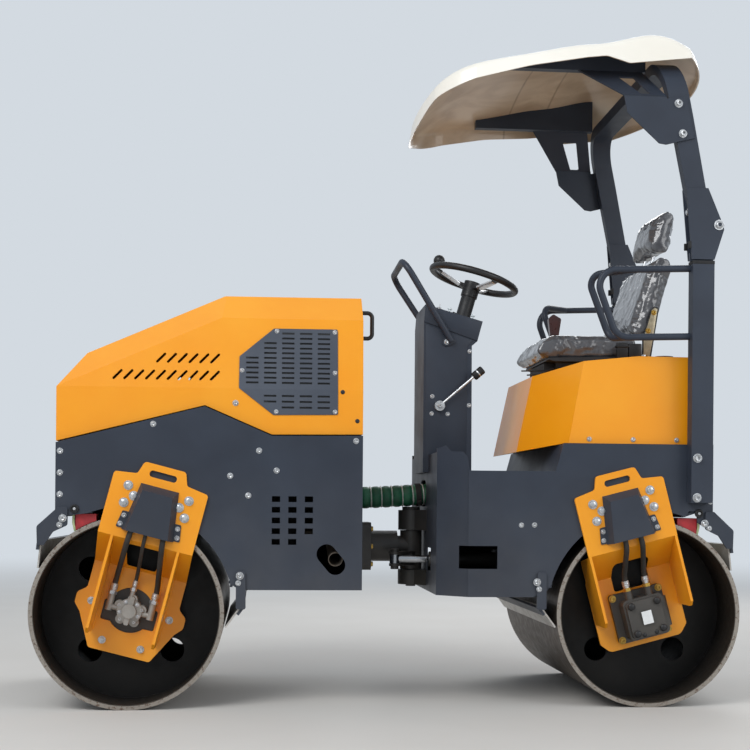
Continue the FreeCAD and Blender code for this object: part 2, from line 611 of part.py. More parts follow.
hood_outer = hood_form(0, 0)
hood_shell = hood_outer.cut(hood_form(HOOD_SHEET, 60))
hood_shell = hood_shell.cut(side_plate(GRILLE_WINDOW, -700, 700)).cut(hood_slots())
knuckle_room = [rod((hinge_x, y - HINGE_LENGTH / 4 - 1, hinge_z),
                    (hinge_x, y + HINGE_LENGTH / 4 + 1, hinge_z), 2 * HINGE_PIN + 1)
                for y in HINGE_PLACES]
hood_shell = hood_shell.cut(Part.makeCompound(knuckle_room))
hood_lugs = []
for y in HINGE_PLACES:
    for side in (-1, 1):
        near, far = y + side * (HINGE_LENGTH / 4 + 1), y + side * HINGE_LENGTH / 2
        knuckle = rod((hinge_x, near, hinge_z), (hinge_x, far, hinge_z), 2 * HINGE_PIN)
        leaf = box(hinge_x - 2 * HINGE_PIN + 1, hinge_x + 4, min(near, far), max(near, far), hinge_z,
                   hinge_z + 34)
        hood_lugs += [knuckle, leaf]
pins = [rod((hinge_x, y - 60, hinge_z), (hinge_x, y + 60, hinge_z), HINGE_PIN + RUNNING_FIT)
        for y in HINGE_PLACES]
nodes["hood"] = fuse(hood_shell, *hood_lugs).cut(Part.makeCompound(pins))
skin = hood_form(-HOOD_SHEET, 0).cut(hood_outer).common(side_plate(GRILLE, -700, 700))
nodes["hood_grilles"] = skin.cut(grille_slots())
nodes["hood_handle"] = pipe(((-112, -250, 1490), (-62, -250, 1490), (-62, -250, 1392), (-112, -250, 1392)), 8,
                            18)

# Centre joint and steering cylinder


def upright(x, y, low, high, radius):
    """Vertical round bar."""
    return rod((x, y, low), (x, y, high), radius)


def level(start, end, radius, y=0.0, z=ROLL_AXIS_Z):
    """Round bar along X."""
    return rod((start, y, z), (end, y, z), radius)


bracket = cross_plate(((-BRACKET_HALF, 478, 20), (BRACKET_HALF, 478, 20), (BRACKET_HALF, 692, 20),
                       (-BRACKET_HALF, 692, 20)), FRONT_REAR, FRONT_REAR + BRACKET_PLATE)
cap = cross_plate(((-108, 490, 24), (108, 490, 24), (108, 680, 24), (-108, 680, 24)),
                  FRONT_REAR + BRACKET_PLATE,
                  HOUSING_FRONT)
roll_bore = level(FRONT_REAR + 30, HOUSING_REAR + 1, HOUSING_BORE + RUNNING_FIT)
nodes["joint_housing"] = fuse(bracket, cap,
                              level(FRONT_REAR + 5, HOUSING_REAR, HOUSING_RADIUS)).cut(roll_bore)

block_low, block_high = LUG_LOW[1] + LINK_GAP, LUG_HIGH[0] - LINK_GAP
block = upright(PIVOT_X, 0, block_low, block_high, LINK_RADIUS)
trunnion = level(FRONT_REAR + 31, PIVOT_X, HOUSING_BORE)
arm_z = [(CYLINDER_Z + side * (EYE_HEIGHT / 2 + ARM_GAP + ARM_PLATE / 2) - ARM_PLATE / 2,
          CYLINDER_Z + side * (EYE_HEIGHT / 2 + ARM_GAP + ARM_PLATE / 2) + ARM_PLATE / 2) for side in (-1, 1)]
arm_plan = ((ARM_PIN_X - 0.84 * ARM_TIP, -ARM_REACH + 0.54 * ARM_TIP),
            (ARM_PIN_X + 0.86 * ARM_TIP, -ARM_REACH - 0.51 * ARM_TIP),
            (PIVOT_X + 40, 0), (PIVOT_X - 40, 0), (PIVOT_X - 47, -70))
arms = [floor_plate(arm_plan, low, high).fuse(upright(ARM_PIN_X, -ARM_REACH, low, high, ARM_TIP)) for low,
        high in arm_z]
arm_web = floor_plate(((PIVOT_X - 40, -88), (PIVOT_X - 5, -84), (PIVOT_X + 20, -20), (PIVOT_X - 30, -20)),
                      arm_z[0][1], arm_z[1][0])
pin_heads = [upright(ARM_PIN_X, -ARM_REACH, arm_z[1][1], arm_z[1][1] + 12, 16),
             upright(ARM_PIN_X, -ARM_REACH, arm_z[0][0] - 12, arm_z[0][0], 16)]
link_bore = upright(PIVOT_X, 0, 300, 900, PIN_RADIUS + RUNNING_FIT)
nodes["joint_link"] = fuse(block, trunnion, *arms, arm_web, *pin_heads).cut(link_bore)

lug_plan = ((PIVOT_X - LUG_RADIUS, -LUG_RADIUS, LUG_RADIUS - 0.5), (PIVOT_X + 8, -LUG_RADIUS),
            (REAR_FRONT, -LUG_SPREAD),
            (REAR_FRONT, LUG_SPREAD), (PIVOT_X + 8, LUG_RADIUS),
            (PIVOT_X - LUG_RADIUS, LUG_RADIUS, LUG_RADIUS - 0.5))
lugs = [floor_plate(lug_plan, low, high) for low, high in (LUG_LOW, LUG_HIGH)]
articulation_pin = upright(PIVOT_X, 0, LUG_LOW[0] - 8, LUG_HIGH[1] + 4, PIN_RADIUS)
pin_cap = upright(PIVOT_X, 0, LUG_HIGH[1], LUG_HIGH[1] + PIN_CAP, 36)
nodes["joint_lugs"] = fuse(*lugs, articulation_pin, pin_cap)


def air_hose():
    """Corrugated hose: its wall bulges between the turns of its wire."""
    line = [V(x, 0, z) for x, z in AIR_HOSE_LINE]
    path = Part.BSplineCurve()
    path.interpolate(line)
    count = round(path.length() / AIR_HOSE_PITCH)
    core = Part.Wire(path.toShape()).makePipeShell(
        [Part.Wire(Part.makeCircle(AIR_HOSE_RADIUS - 4, line[0], path.tangent(path.FirstParameter)[0]))],
        True, False)
    bulges = []
    for i in range(count):
        span = path.LastParameter - path.FirstParameter
        start, end = (path.value(path.FirstParameter + span * (i + share) / count) for share in (0.06, 0.94))
        along = end - start
        length = along.Length
        half = outline(((0, 0), (AIR_HOSE_RADIUS - 4, 0), (AIR_HOSE_RADIUS, length * 0.3, 18),
                        (AIR_HOSE_RADIUS, length * 0.7, 18), (AIR_HOSE_RADIUS - 4, length), (0, length)),
                       lambda a, b: V(a, 0, b))
        bulge = half.revolve(V(0, 0, 0), Z_AXIS, 360)
        bulges.append(placed(bulge, FreeCAD.Placement(start, FreeCAD.Rotation(Z_AXIS, along))))
    return fuse(core, *bulges)


nodes["air_hose"] = air_hose()

barrel = level(BARREL_FRONT, BARREL_PIVOT_X - BARREL_EYE - 8, BARREL_RADIUS, -ARM_REACH, CYLINDER_Z)
barrel_neck = level(BARREL_PIVOT_X - BARREL_EYE - 9, BARREL_PIVOT_X, 20, -ARM_REACH, CYLINDER_Z)
barrel_eye = upright(BARREL_PIVOT_X, -ARM_REACH, CYLINDER_Z - 22, CYLINDER_Z + 22, BARREL_EYE)
rod_bore = level(BARREL_FRONT - 1, BARREL_FRONT + BORE_DEPTH, ROD_RADIUS + RUNNING_FIT, -ARM_REACH,
                 CYLINDER_Z)
pivot_bore = upright(BARREL_PIVOT_X, -ARM_REACH, 400, 700, BARREL_PIN + RUNNING_FIT)
nodes["cylinder_barrel"] = fuse(barrel, barrel_neck, barrel_eye).cut(rod_bore).cut(pivot_bore)
steering_rod = level(ARM_PIN_X, BARREL_FRONT + ROD_INSIDE, ROD_RADIUS, -ARM_REACH, CYLINDER_Z)
rod_eye = upright(ARM_PIN_X, -ARM_REACH, CYLINDER_Z - EYE_HEIGHT / 2, CYLINDER_Z + EYE_HEIGHT / 2, EYE_RADIUS)
nodes["cylinder_rod"] = fuse(steering_rod, rod_eye)
anchor_x = BARREL_PIVOT_X + BARREL_EYE + 10
anchor_web = box(anchor_x, anchor_x + 14, -ARM_REACH - 45, -ARM_REACH + 45, REAR_SKID + FRAME_PLATE,
                 CYLINDER_Z + 42)
anchor_plates = [box(BARREL_PIVOT_X - 30, anchor_x + 2, -ARM_REACH - 36, -ARM_REACH + 36, z, z + 10)
                 for z in (CYLINDER_Z - 34, CYLINDER_Z + 24)]
anchor_pin = upright(BARREL_PIVOT_X, -ARM_REACH, CYLINDER_Z - 42, CYLINDER_Z + 42, BARREL_PIN)
nodes["cylinder_anchor"] = fuse(anchor_web, *anchor_plates, anchor_pin)

# Rear frame
rear_side = side_plate(
    ((REAR_BEND - 4, REAR_SKID), (525, REAR_SKID), (REAR_AXLE - 374, ARCH_FOOT_Z), (REAR_AXLE - 300, 560),
     (REAR_AXLE, 712), (REAR_AXLE + 135, 712), (REAR_AXLE + 150, 735), (REAR_AXLE + 182, 735),
     (REAR_AXLE + 182, 660),
     (REAR_END, 660), (REAR_END, REAR_DECK), (634, REAR_DECK - 4),
     (606, FLOOR_TOP), (REAR_BEND - 4, FLOOR_TOP)), -HALF_WIDTH, -HALF_WIDTH + FRAME_PLATE)
rear_side = rear_side.cut(arch_face(REAR_AXLE))
rear_side = rear_side.cut(box(250, 389, -HALF_WIDTH - 10, -HALF_WIDTH + 20, 516, 601))
cheek_plan = ((REAR_BEND, -HALF_WIDTH), (REAR_FRONT, -REAR_NOSE_HALF), (REAR_FRONT, -REAR_NOSE_HALF + 10),
              (REAR_BEND, -HALF_WIDTH + FRAME_PLATE))
cheek = floor_plate(cheek_plan, REAR_SKID, TOE_TOP + 14)
cheek_top = side_plate(((150, 1100), (150, 966), (183, 966), (205, 975), (222, 952), (262, 950), (277, 928),
                        (283, FLOOR_TOP), (300, FLOOR_TOP), (300, 1100)), -700, 0)
cheek = cheek.cut(cheek_top).cut(box(250, 300, -HALF_WIDTH - 10, -HALF_WIDTH + 60, 516, 601))
deck_flange = box(640, REAR_END, -HALF_WIDTH + FRAME_PLATE, -DECK_HALF + 20, REAR_DECK - 5, REAR_DECK)
rear_side = fuse(rear_side, cheek, deck_flange)
nodes["rear_side_left"] = rear_side
nodes["rear_side_right"] = mirrored(rear_side)

nose_wall = cross_plate(((-REAR_NOSE_HALF + 10, REAR_SKID), (REAR_NOSE_HALF - 10, REAR_SKID),
                         (REAR_NOSE_HALF - 10, 950), (-REAR_NOSE_HALF + 10, 950)), REAR_FRONT,
                         REAR_FRONT + FRAME_PLATE)
nose_wall = nose_wall.cut(box(150, 200, -ARM_REACH - 75, -ARM_REACH + 66, CYLINDER_Z - 46, CYLINDER_Z + 46))
nose_wall = nose_wall.cut(cross_plate(((-86, 744, 40), (86, 744, 40), (86, 852, 40), (-86, 852, 40)), 150,
                                      200))
nose_wall = nose_wall.cut(box(150, 200, -CONSOLE_HALF - SEAT_GAP, CONSOLE_HALF + SEAT_GAP, FLOOR_TOP, 1000))
floor_corner = (REAR_BEND, -inner_half)
driver_floor = floor_plate(((REAR_FRONT + FRAME_PLATE, -REAR_NOSE_HALF + 16), floor_corner,
                            (640, -inner_half),
                            (640, inner_half), (REAR_BEND, inner_half),
                            (REAR_FRONT + FRAME_PLATE, REAR_NOSE_HALF - 16)), FLOOR_TOP - 6, FLOOR_TOP)
riser = side_plate(((606, FLOOR_TOP), (612, FLOOR_TOP), (640, REAR_DECK - 4), (634, REAR_DECK - 4)),
                   -inner_half, inner_half)
rear_belly = floor_plate(((REAR_FRONT + FRAME_PLATE, -REAR_NOSE_HALF + 16), floor_corner, (560, -inner_half),
                          (560, inner_half), (REAR_BEND, inner_half),
                          (REAR_FRONT + FRAME_PLATE, REAR_NOSE_HALF - 16)), REAR_SKID,
                          REAR_SKID + FRAME_PLATE)
rear_arch = arch_ring(REAR_AXLE, ARCH_FOOT_Z, 716, False)
rear_toe = side_plate(((596, 446), (586, 446), (578, 470), (592, 470)), -inner_half, inner_half)
belly_step = side_plate(((552, REAR_SKID), (560, REAR_SKID), (600, 462), (592, 462)), -inner_half, inner_half)
tail_wall = box(REAR_END - FRAME_PLATE, REAR_END, -inner_half, inner_half, REAR_TAIL, REAR_DECK - 10)
tail_floor = side_plate(((REAR_AXLE + 122, 714), (REAR_AXLE + 130, 712), (REAR_END, REAR_TAIL),
                         (REAR_END, REAR_TAIL + 6),
                         (REAR_AXLE + 124, 722)), -inner_half, inner_half)
front_step = side_plate(((-552, FRONT_SKID), (-560, FRONT_SKID), (-600, 462), (-592, 462)), -inner_half,
                        inner_half)
nodes["front_chassis"] = fuse(nodes["front_chassis"], front_step)
nodes["rear_chassis"] = fuse(nose_wall, driver_floor, riser, rear_belly, belly_step, rear_arch, rear_toe,
                             tail_wall,
                             tail_floor)

# Seat box
box_low = outline(((500, -250), (649, -DECK_HALF), (REAR_END + 5, -DECK_HALF), (REAR_END + 5, DECK_HALF),
                   (649, DECK_HALF),
                   (500, 250)),
                  lambda a, b: V(a, b, REAR_DECK + SEAT_GAP - 60))
rim_half = DECK_HALF - 12
box_high = outline(((585, -240), (724, -rim_half), (REAR_END + 5, -rim_half), (REAR_END + 5, rim_half),
                    (724, rim_half),
                    (585, 240)), lambda a, b: V(a, b, 1330))
seat_box = Part.makeLoft([box_low.OuterWire, box_high.OuterWire], True, True)
seat_box = seat_box.cut(side_plate(((400, 1240), (560, 1255), (720, 1296), (929, 1318), (1300, 1316),
                                    (1300, 1500),
                                    (400, 1500)), -600, 600))
seat_box = seat_box.cut(side_plate(((400, 700), (1300, 700), (1300, REAR_DECK + SEAT_GAP),
                                    (645, REAR_DECK + SEAT_GAP),
                                    (400, 940)), -600, 600))
nodes["seat_box"] = seat_box

# Console, steering wheel, grab handle and drive lever
console = side_plate(((153, FLOOR_TOP), (153, 1476), (158, 1545), (388, 1482), (367, 1403), (345, 1384),
                      (347, FLOOR_TOP)), -CONSOLE_HALF, CONSOLE_HALF)
nodes["console"] = console
axis = V(math.sin(math.radians(STEERING_TILT)), 0, math.cos(math.radians(STEERING_TILT)))
centre = V(STEERING_CENTRE[0], 0, STEERING_CENTRE[1])
rim = Part.makeTorus(STEERING_RADIUS, RIM_RADIUS, centre, axis)
hub = Part.makeCylinder(34, 62, centre - axis * 74, axis)
spokes = []
for turn in (60, 180, 300):
    across = FreeCAD.Rotation(axis, turn).multVec(V(axis.z, 0, -axis.x))
    side = axis.cross(across)
    base = centre - axis * 48
    face = Part.Face(Part.makePolygon([base + across * 20 - side * 18, base + across * 20 + side * 18,
                                       centre + across * (STEERING_RADIUS - 6) + side * 11,
                                       centre + across * (STEERING_RADIUS - 6) - side * 11,
                                       base + across * 20 - side * 18]))
    spokes.append(face.extrude(axis * 7))
nodes["steering_wheel"] = fuse(rim, hub, *spokes)
knob_at = centre + FreeCAD.Rotation(axis, 150).multVec(V(axis.z, 0, -axis.x)) * STEERING_RADIUS
knob = Part.makeCylinder(8, 40, knob_at, axis).fuse(Part.makeSphere(24, knob_at + axis * 52))
nodes["steering_knob"] = knob.cut(rim)
column_foot = centre - axis * 230
column = Part.makeCylinder(30, 230 - 74 - 1, column_foot, axis)
nodes["steering_column"] = column.cut(console)

handle_half = 205.0
nodes["grab_handle"] = pipe(((262, -CONSOLE_HALF - 13, 1400), (63, -handle_half, 1709),
                             (63, handle_half, 1709),
                             (262, CONSOLE_HALF + 13, 1400)), 13, 55)
lever_y = -CONSOLE_HALF
lever = rod((216, lever_y - 14, 1143), (360, lever_y - 30, 1268), 5)
nodes["drive_lever"] = fuse(rod((216, lever_y - 20, 1143), (216, lever_y, 1143), 20), lever,
                            Part.makeSphere(16, V(366, lever_y - 31, 1273)))

# Roll-over frame: posts on the rear frame's sides and a hoop that folds back about two bolts
post_y = -HALF_WIDTH - POST_SIDE
post = box(POST_X, POST_X + POST_DEPTH, post_y, -HALF_WIDTH, POST_FOOT, SPLIT_Z)
socket = side_plate(((POST_X - 6, SPLIT_Z), (POST_X + POST_DEPTH, SPLIT_Z),
                     (FOLD_PIVOT[0] + 14, FOLD_PIVOT[1] - 10, 8),
                     (FOLD_PIVOT[0] + 4, FOLD_PIVOT[1] + 12, 8), (POST_X + 60, FOLD_PIVOT[1] - 40, 0),
                     (POST_X - 6, SPLIT_Z + 30)), post_y + 18, post_y + 32)
fold_bolt = rod((FOLD_PIVOT[0], post_y - 10, FOLD_PIVOT[1]), (FOLD_PIVOT[0], -HALF_WIDTH + 10, FOLD_PIVOT[1]),
                FOLD_BOLT)
nodes["lower_posts"] = pair(fuse(post, socket, fold_bolt))

lean = math.tan(math.radians(HOOP_LEAN))


def leaned(z):
    """X of the upper post's front face at a height."""
    return POST_X - (z - FOLD_PIVOT[1]) * lean


cheek_profile = ((POST_X - 4, SPLIT_Z + 4), (POST_X + POST_DEPTH, SPLIT_Z + 4),
                 (FOLD_PIVOT[0] + 20, FOLD_PIVOT[1] - 16, 10),
                 (FOLD_PIVOT[0] + 10, FOLD_PIVOT[1] + 14, 10), (leaned(1937) + 84, 1937),
                 (leaned(1937), 1937))
cheeks = [side_plate(cheek_profile, y, y + 6) for y in (post_y, post_y + 44)]
inner_face, outer_face = post_y + BRACKET_SHEET + HOOP_SIDE, post_y + BRACKET_SHEET
foot = side_plate(((leaned(1790), 1790), (leaned(1790) + HOOP_DEPTH - 6, 1790),
                   (leaned(2200) + HOOP_DEPTH, 2200),
                   (leaned(2200), 2200)), outer_face, inner_face)
bolt_bore = rod((FOLD_PIVOT[0], post_y - 20, FOLD_PIVOT[1]), (FOLD_PIVOT[0], -HALF_WIDTH + 20, FOLD_PIVOT[1]),
                FOLD_BOLT + RUNNING_FIT)
legs = [*[cheek.cut(bolt_bore) for cheek in cheeks], foot]
hoop_span = POST_X - 400, POST_X + 200
hoop = cross_plate(((outer_face, 2190), (outer_face, HOOP_TOP, HOOP_BEND), (-outer_face, HOOP_TOP, HOOP_BEND),
                    (-outer_face, 2190)), *hoop_span)
hoop = hoop.cut(cross_plate(((inner_face, 2100), (inner_face, HOOP_TOP - HOOP_SIDE, HOOP_BEND - HOOP_SIDE),
                             (-inner_face, HOOP_TOP - HOOP_SIDE, HOOP_BEND - HOOP_SIDE), (-inner_face, 2100)),
                            *hoop_span))
hoop = hoop.common(side_plate(((leaned(2190), 2190), (leaned(2190) + HOOP_DEPTH, 2190),
                               (leaned(HOOP_TOP) + HOOP_DEPTH, HOOP_TOP), (leaned(HOOP_TOP), HOOP_TOP)), -700,
                               700))
nodes["fold_hoop"] = fuse(hoop, *legs, *[mirrored(leg) for leg in legs])

# Canopy: a moulded shell, lower and narrower to the front, with a leaning lip round all its sides
CANOPY_PLAN = (
    # x, distance inside the widest line, both at the height of the plan
    (144.0, 254.0), (193.0, 169.0), (297.0, 105.0), (700.0, 13.0),
)
CANOPY_PLAN_Z, CANOPY_TOP_Z = 2200.0, 2640.0
CANOPY_ROOF = (
    # x, height at the shoulder, height at the crown
    (90.0, 2262.0, 2276.0), (150.0, 2326.0, 2346.0), (230.0, 2374.0, 2404.0), (450.0, 2426.0, 2474.0),
    (690.0, 2468.0, 2532.0), (800.0, 2482.0, 2552.0), (917.0, 2510.0, 2578.0), (1056.0, 2492.0, 2562.0),
    (CANOPY_TAIL + 43.0, 2476.0, 2532.0),
)
CANOPY_EDGE = (
    # x, height of the lip's lower edge, corner radius
    (20.0, 2120.0), (CANOPY_NOSE, 2234.0), (160.0, 2297.0, 80.0), (300.0, 2345.0, 300.0),
    (500.0, 2388.0, 600.0),
    (779.0, 2420.0, 40.0), (863.0, 2393.0, 40.0), (1103.0, 2420.0, 200.0), (CANOPY_TAIL + 100.0, 2430.0),
)


def canopy_plan():
    """Face inside the canopy's lip, level with the plan: bowed nose and tail, tapering flanks."""
    spread = CANOPY_HALF + (CANOPY_EDGE[-1][1] - CANOPY_PLAN_Z - 14) * math.tan(math.radians(CANOPY_LEAN))
    tail = CANOPY_TAIL + 39
    left = [V(x, inside - spread, CANOPY_PLAN_Z) for x, inside in CANOPY_PLAN + ((CANOPY_TAIL - 139, 0.0),)]
    right = [V(point.x, -point.y, point.z) for point in left]
    nose, end = V(CANOPY_NOSE - 6, 0, CANOPY_PLAN_Z), V(tail, 0, CANOPY_PLAN_Z)
    edges = [Part.Arc(left[0], nose, right[0]).toShape(), Part.Arc(right[0], right[1], right[2]).toShape(),
             Part.makeLine(right[2], right[3]), Part.makeLine(right[3], right[4]),
             Part.Arc(right[4], end, left[4]).toShape(), Part.makeLine(left[4], left[3]),
             Part.makeLine(left[3], left[2]), Part.Arc(left[2], left[1], left[0]).toShape()]
    return Part.Face(Part.Wire(edges))


def canopy_form(inset):
    """Solid under the canopy's outer face, moved inwards by inset and open to below."""
    wires = []
    for x, shoulder, crown in CANOPY_ROOF:
        reach, wide, rise = CANOPY_HALF - 50, CANOPY_HALF + 80, crown - shoulder
        radius = (reach ** 2 + rise ** 2) / (2 * rise)
        ends = [V(x, side * wide, crown - radius + math.sqrt(radius ** 2 - wide ** 2) - inset)
                for side in (-1, 1)]
        feet = [V(x, side * wide, CANOPY_PLAN_Z - 100) for side in (-1, 1)]
        wires.append(Part.Wire([Part.Arc(ends[0], V(x, 0, crown - inset), ends[1]).toShape(),
                                Part.makeLine(ends[1], feet[1]), Part.makeLine(feet[1], feet[0]),
                                Part.makeLine(feet[0], ends[0])]))
    roof = Part.makeLoft(wires, True, False)
    low = canopy_plan()
    if inset:
        low = low.makeOffset2D(-inset)
    high = low.makeOffset2D(-(CANOPY_TOP_Z - CANOPY_PLAN_Z) * math.tan(math.radians(CANOPY_LEAN)))
    high.translate(V(0, 0, CANOPY_TOP_Z - CANOPY_PLAN_Z))
    form = Part.makeLoft([low.Wires[0], high.Wires[0]], True, True).common(roof)
    shoulder_edges = [edge for edge in form.Edges if edge.BoundBox.ZMin > CANOPY_PLAN_Z + 20 and
                      edge.BoundBox.ZMax - edge.BoundBox.ZMin < 0.8 * max(edge.BoundBox.XLength,
                                                                          edge.BoundBox.YLength)]
    return form.makeFillet(CANOPY_ROUND - inset, shoulder_edges)


canopy_inside = canopy_form(CANOPY_SKIN)
above_edge = side_plate(CANOPY_EDGE + ((CANOPY_TAIL + 100, CANOPY_TOP_Z), (20, CANOPY_TOP_Z)), -700, 700)
nodes["canopy"] = canopy_form(0).cut(canopy_inside).common(above_edge)

# Canopy frame: a bracket bolted over each leg of the hoop, folded in to a rail under the canopy
bracket_flat = side_plate([(POST_X + x, z) for x, z in (
    (-253, 2207), (-132, 2098), (-105, 2094), (2, 2121), (-29, 2272), (-106, 2264), (-106, BRACKET_FOLD),
    (-267, BRACKET_FOLD))], post_y, post_y + BRACKET_SHEET)
rail_rear = leaned(RAIL_UNDER) - 21
rail = box(rail_rear - RAIL_LENGTH, rail_rear, -RAIL_HALF - RAIL_WIDTH / 2, -RAIL_HALF + RAIL_WIDTH / 2,
           RAIL_UNDER, 2600)
rail = rail.common(canopy_form(CANOPY_SKIN + 0.4))
arm_rise, arm_run = RAIL_UNDER + 4 - BRACKET_FOLD, -post_y - RAIL_HALF - RAIL_WIDTH / 2 + 4
arm_length = math.hypot(arm_rise, arm_run)


def on_arm(x, along):
    """Point on the bracket's leaning arms, by its distance along their slope."""
    return V(x, post_y + along * arm_run / arm_length, BRACKET_FOLD + along * arm_rise / arm_length)


arm_normal = V(0, -arm_rise, arm_run).normalize()
fold_edge, rail_edge = arm_length - 52, arm_length
web, window = [outline([(POST_X + c[0], *c[1:]) for c in corners],
                       on_arm).extrude(arm_normal * -BRACKET_SHEET)
               for corners in (((-267, -3), (-106, -3), (-161, rail_edge), (-406, rail_edge)),
                               ((-201, 8, 6), (-163, 8, 6), (-201, fold_edge, 6), (-262, fold_edge, 6)))]
side_parts = fuse(bracket_flat, rail, web.cut(window))
nodes["canopy_frame"] = pair(side_parts)

# Side rails: a bent loop on each post, with a second tube splayed inwards at the front
rail_y = post_y + 36
loop = pipe(((POST_X, rail_y, 1643), (POST_X - 368, rail_y, 1629), (POST_X - 278, rail_y, 1380),
             (POST_X, rail_y, 1389)),
            SIDE_RAIL, 62)
splay = pipe(((POST_X - 226, rail_y + 6, 1635), (POST_X - 362, rail_y + 120, 1629),
              (POST_X - 272, rail_y + 120, 1392),
              (POST_X - 226, rail_y + 6, 1384)), SIDE_RAIL, 45)
nodes["side_rails"] = pair(fuse(loop, splay).cut(post))

# Seat
seat_y = SEAT_HALF - 10
nodes["seat_cushion"] = side_plate(((578, 1352, 14), (606, 1400, 22), (700, 1420, 30), (1000, 1414, 18),
                                    (1004, 1348, 10),
                                    (640, 1336, 16)), -seat_y, seat_y)
nodes["seat_back"] = side_plate(((968, 1424, 14), (1078, 1752, 24), (1138, 1742, 24), (1048, 1424, 14)),
                                -seat_y, seat_y)
nodes["headrest"] = side_plate(((1066, 1780, 20), (1104, 1930, 24), (1146, 1952, 22), (1174, 1930, 20),
                                (1146, 1776, 20)),
                               -135, 135)
seat_pan = side_plate(((660, 1322), (1010, 1322), (1012, 1347), (1004.5, 1347), (640, 1335.5), (640, 1328)),
                      -seat_y + 10,
                      seat_y - 10)
recliner = side_plate(((1010, 1335, 6), (1046, 1335, 10), (1078, 1540, 10), (1052, 1544, 10),
                       (1012, 1420, 6)),
                      -seat_y - 6 - SEAT_GAP, -seat_y - SEAT_GAP)
stay = rod((1098, 60, 1740), (1114, 60, 1790), 6)
foot_rail = box(680, 1010, -170, -140, 1300, 1322)
seat_frame = fuse(seat_pan, box(1005, 1040, -seat_y - 3, seat_y + 3, 1330, 1346), recliner,
                  mirrored(recliner),
                  foot_rail, mirrored(foot_rail))
nodes["seat_frame"] = seat_frame.cut(seat_box)
nodes["headrest_stays"] = pair(stay.cut(nodes["headrest"]).cut(nodes["seat_back"]))
grip = side_plate(((762, 1452, 8), (750, 1560, 10), (770, 1582, 10), (806, 1562, 10), (790, 1452, 8)), 278,
                  304)
nodes["travel_lever"] = fuse(rod((776, 291, 1290), (776, 291, 1460), 9), grip).cut(seat_box)
nodes["filler_cap"] = rod((1096, -240, 1300), (1096, -240, 1344), 38).cut(seat_box)

# Scrapers of both drums
for end, axle_x in AXLES.items():
    made = [scraper(*row) for row in SCRAPERS]
    for name, solids in (("_scraper_blades", [blade for blade, _ in made]),
                         ("_scraper_arms", [arm for _, arm in made])):
        group = Part.makeCompound(solids)
        if end == "rear":
            group = group.mirror(V(0, 0, 0), X_AXIS)
        group.translate(V(axle_x, 0, 0))
        nodes[end + name] = group

for name, shape in nodes.items():
    shape.exportStep(f"parts/{name}.step")
    print(f"{name:22s} {len(shape.Solids)} solids {shape.Volume / 1e6:9.3f} l valid {shape.isValid()}")
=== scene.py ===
"""Looks of the ride-on tandem roller: finishes, fasteners, hose ends, film-wrapped seat and a studio.

Sizes and places are in millimetres in the machine's frame: X to the rear, Y to the right-hand side, Z up.
What is drawn on one side is drawn on the left-hand side, where Y is negative.
"""
from __future__ import annotations

import json
import logging
import math
from dataclasses import dataclass
from enum import Enum
from typing import Iterable

import bmesh
import bpy
from mathutils import Matrix, Vector, noise

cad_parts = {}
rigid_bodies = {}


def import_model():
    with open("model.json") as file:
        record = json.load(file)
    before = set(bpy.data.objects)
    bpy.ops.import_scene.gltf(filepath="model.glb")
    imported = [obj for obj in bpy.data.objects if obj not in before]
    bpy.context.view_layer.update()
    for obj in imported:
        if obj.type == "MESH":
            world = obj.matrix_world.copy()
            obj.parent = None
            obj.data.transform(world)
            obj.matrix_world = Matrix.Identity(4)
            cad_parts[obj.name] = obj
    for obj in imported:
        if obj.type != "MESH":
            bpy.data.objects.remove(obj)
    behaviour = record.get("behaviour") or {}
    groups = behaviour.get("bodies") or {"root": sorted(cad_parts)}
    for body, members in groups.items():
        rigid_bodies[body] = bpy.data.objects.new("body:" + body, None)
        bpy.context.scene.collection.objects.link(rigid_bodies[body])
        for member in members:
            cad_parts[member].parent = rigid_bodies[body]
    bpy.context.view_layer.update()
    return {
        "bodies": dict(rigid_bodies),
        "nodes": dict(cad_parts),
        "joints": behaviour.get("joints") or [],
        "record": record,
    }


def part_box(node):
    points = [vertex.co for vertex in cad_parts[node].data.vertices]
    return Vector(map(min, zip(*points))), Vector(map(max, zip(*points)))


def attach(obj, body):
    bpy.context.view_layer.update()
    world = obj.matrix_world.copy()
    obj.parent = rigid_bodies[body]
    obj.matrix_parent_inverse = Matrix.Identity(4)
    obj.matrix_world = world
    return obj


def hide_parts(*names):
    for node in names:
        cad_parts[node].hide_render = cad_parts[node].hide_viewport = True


log = logging.getLogger("roller")
MM = 0.001
LEFT, RIGHT = -1, 1

# Driving sizes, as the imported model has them: half the wheelbase, the drums, the outer faces of the frames
# and of the drum plates' heads and feet, and the plates' lean in degrees
HALF_BASE = 965.0
DRUM_RADIUS = 350.0
DRUM_HALF = 500.0
FRAME_FACE = 505.0
PLATE_FACE = 515.0
PLATE_FOOT_FACE = 362.0
PLATE_TILT = 14.5
# Outer faces of the console's flanks and of the posts, and the hood's flank with its waist fold and lean
CONSOLE_FACE = 150.0
POST_FACE = 555.0
HOOD_FACE = 478.0
HOOD_WAIST = 1171.0
HOOD_LEAN = 4.8


# Materials


def linear(code: str) -> tuple[float, float, float, float]:
    """Turns an sRGB hex colour into linear values.

    Args:
        code: six hexadecimal digits after a hash.

    Returns:
        Red, green, blue and an alpha of one.
    """
    parts = [int(code[i:i + 2], 16) / 255 for i in (1, 3, 5)]
    red, green, blue = (p / 12.92 if p <= 0.04045 else ((p + 0.055) / 1.055) ** 2.4 for p in parts)
    return red, green, blue, 1.0


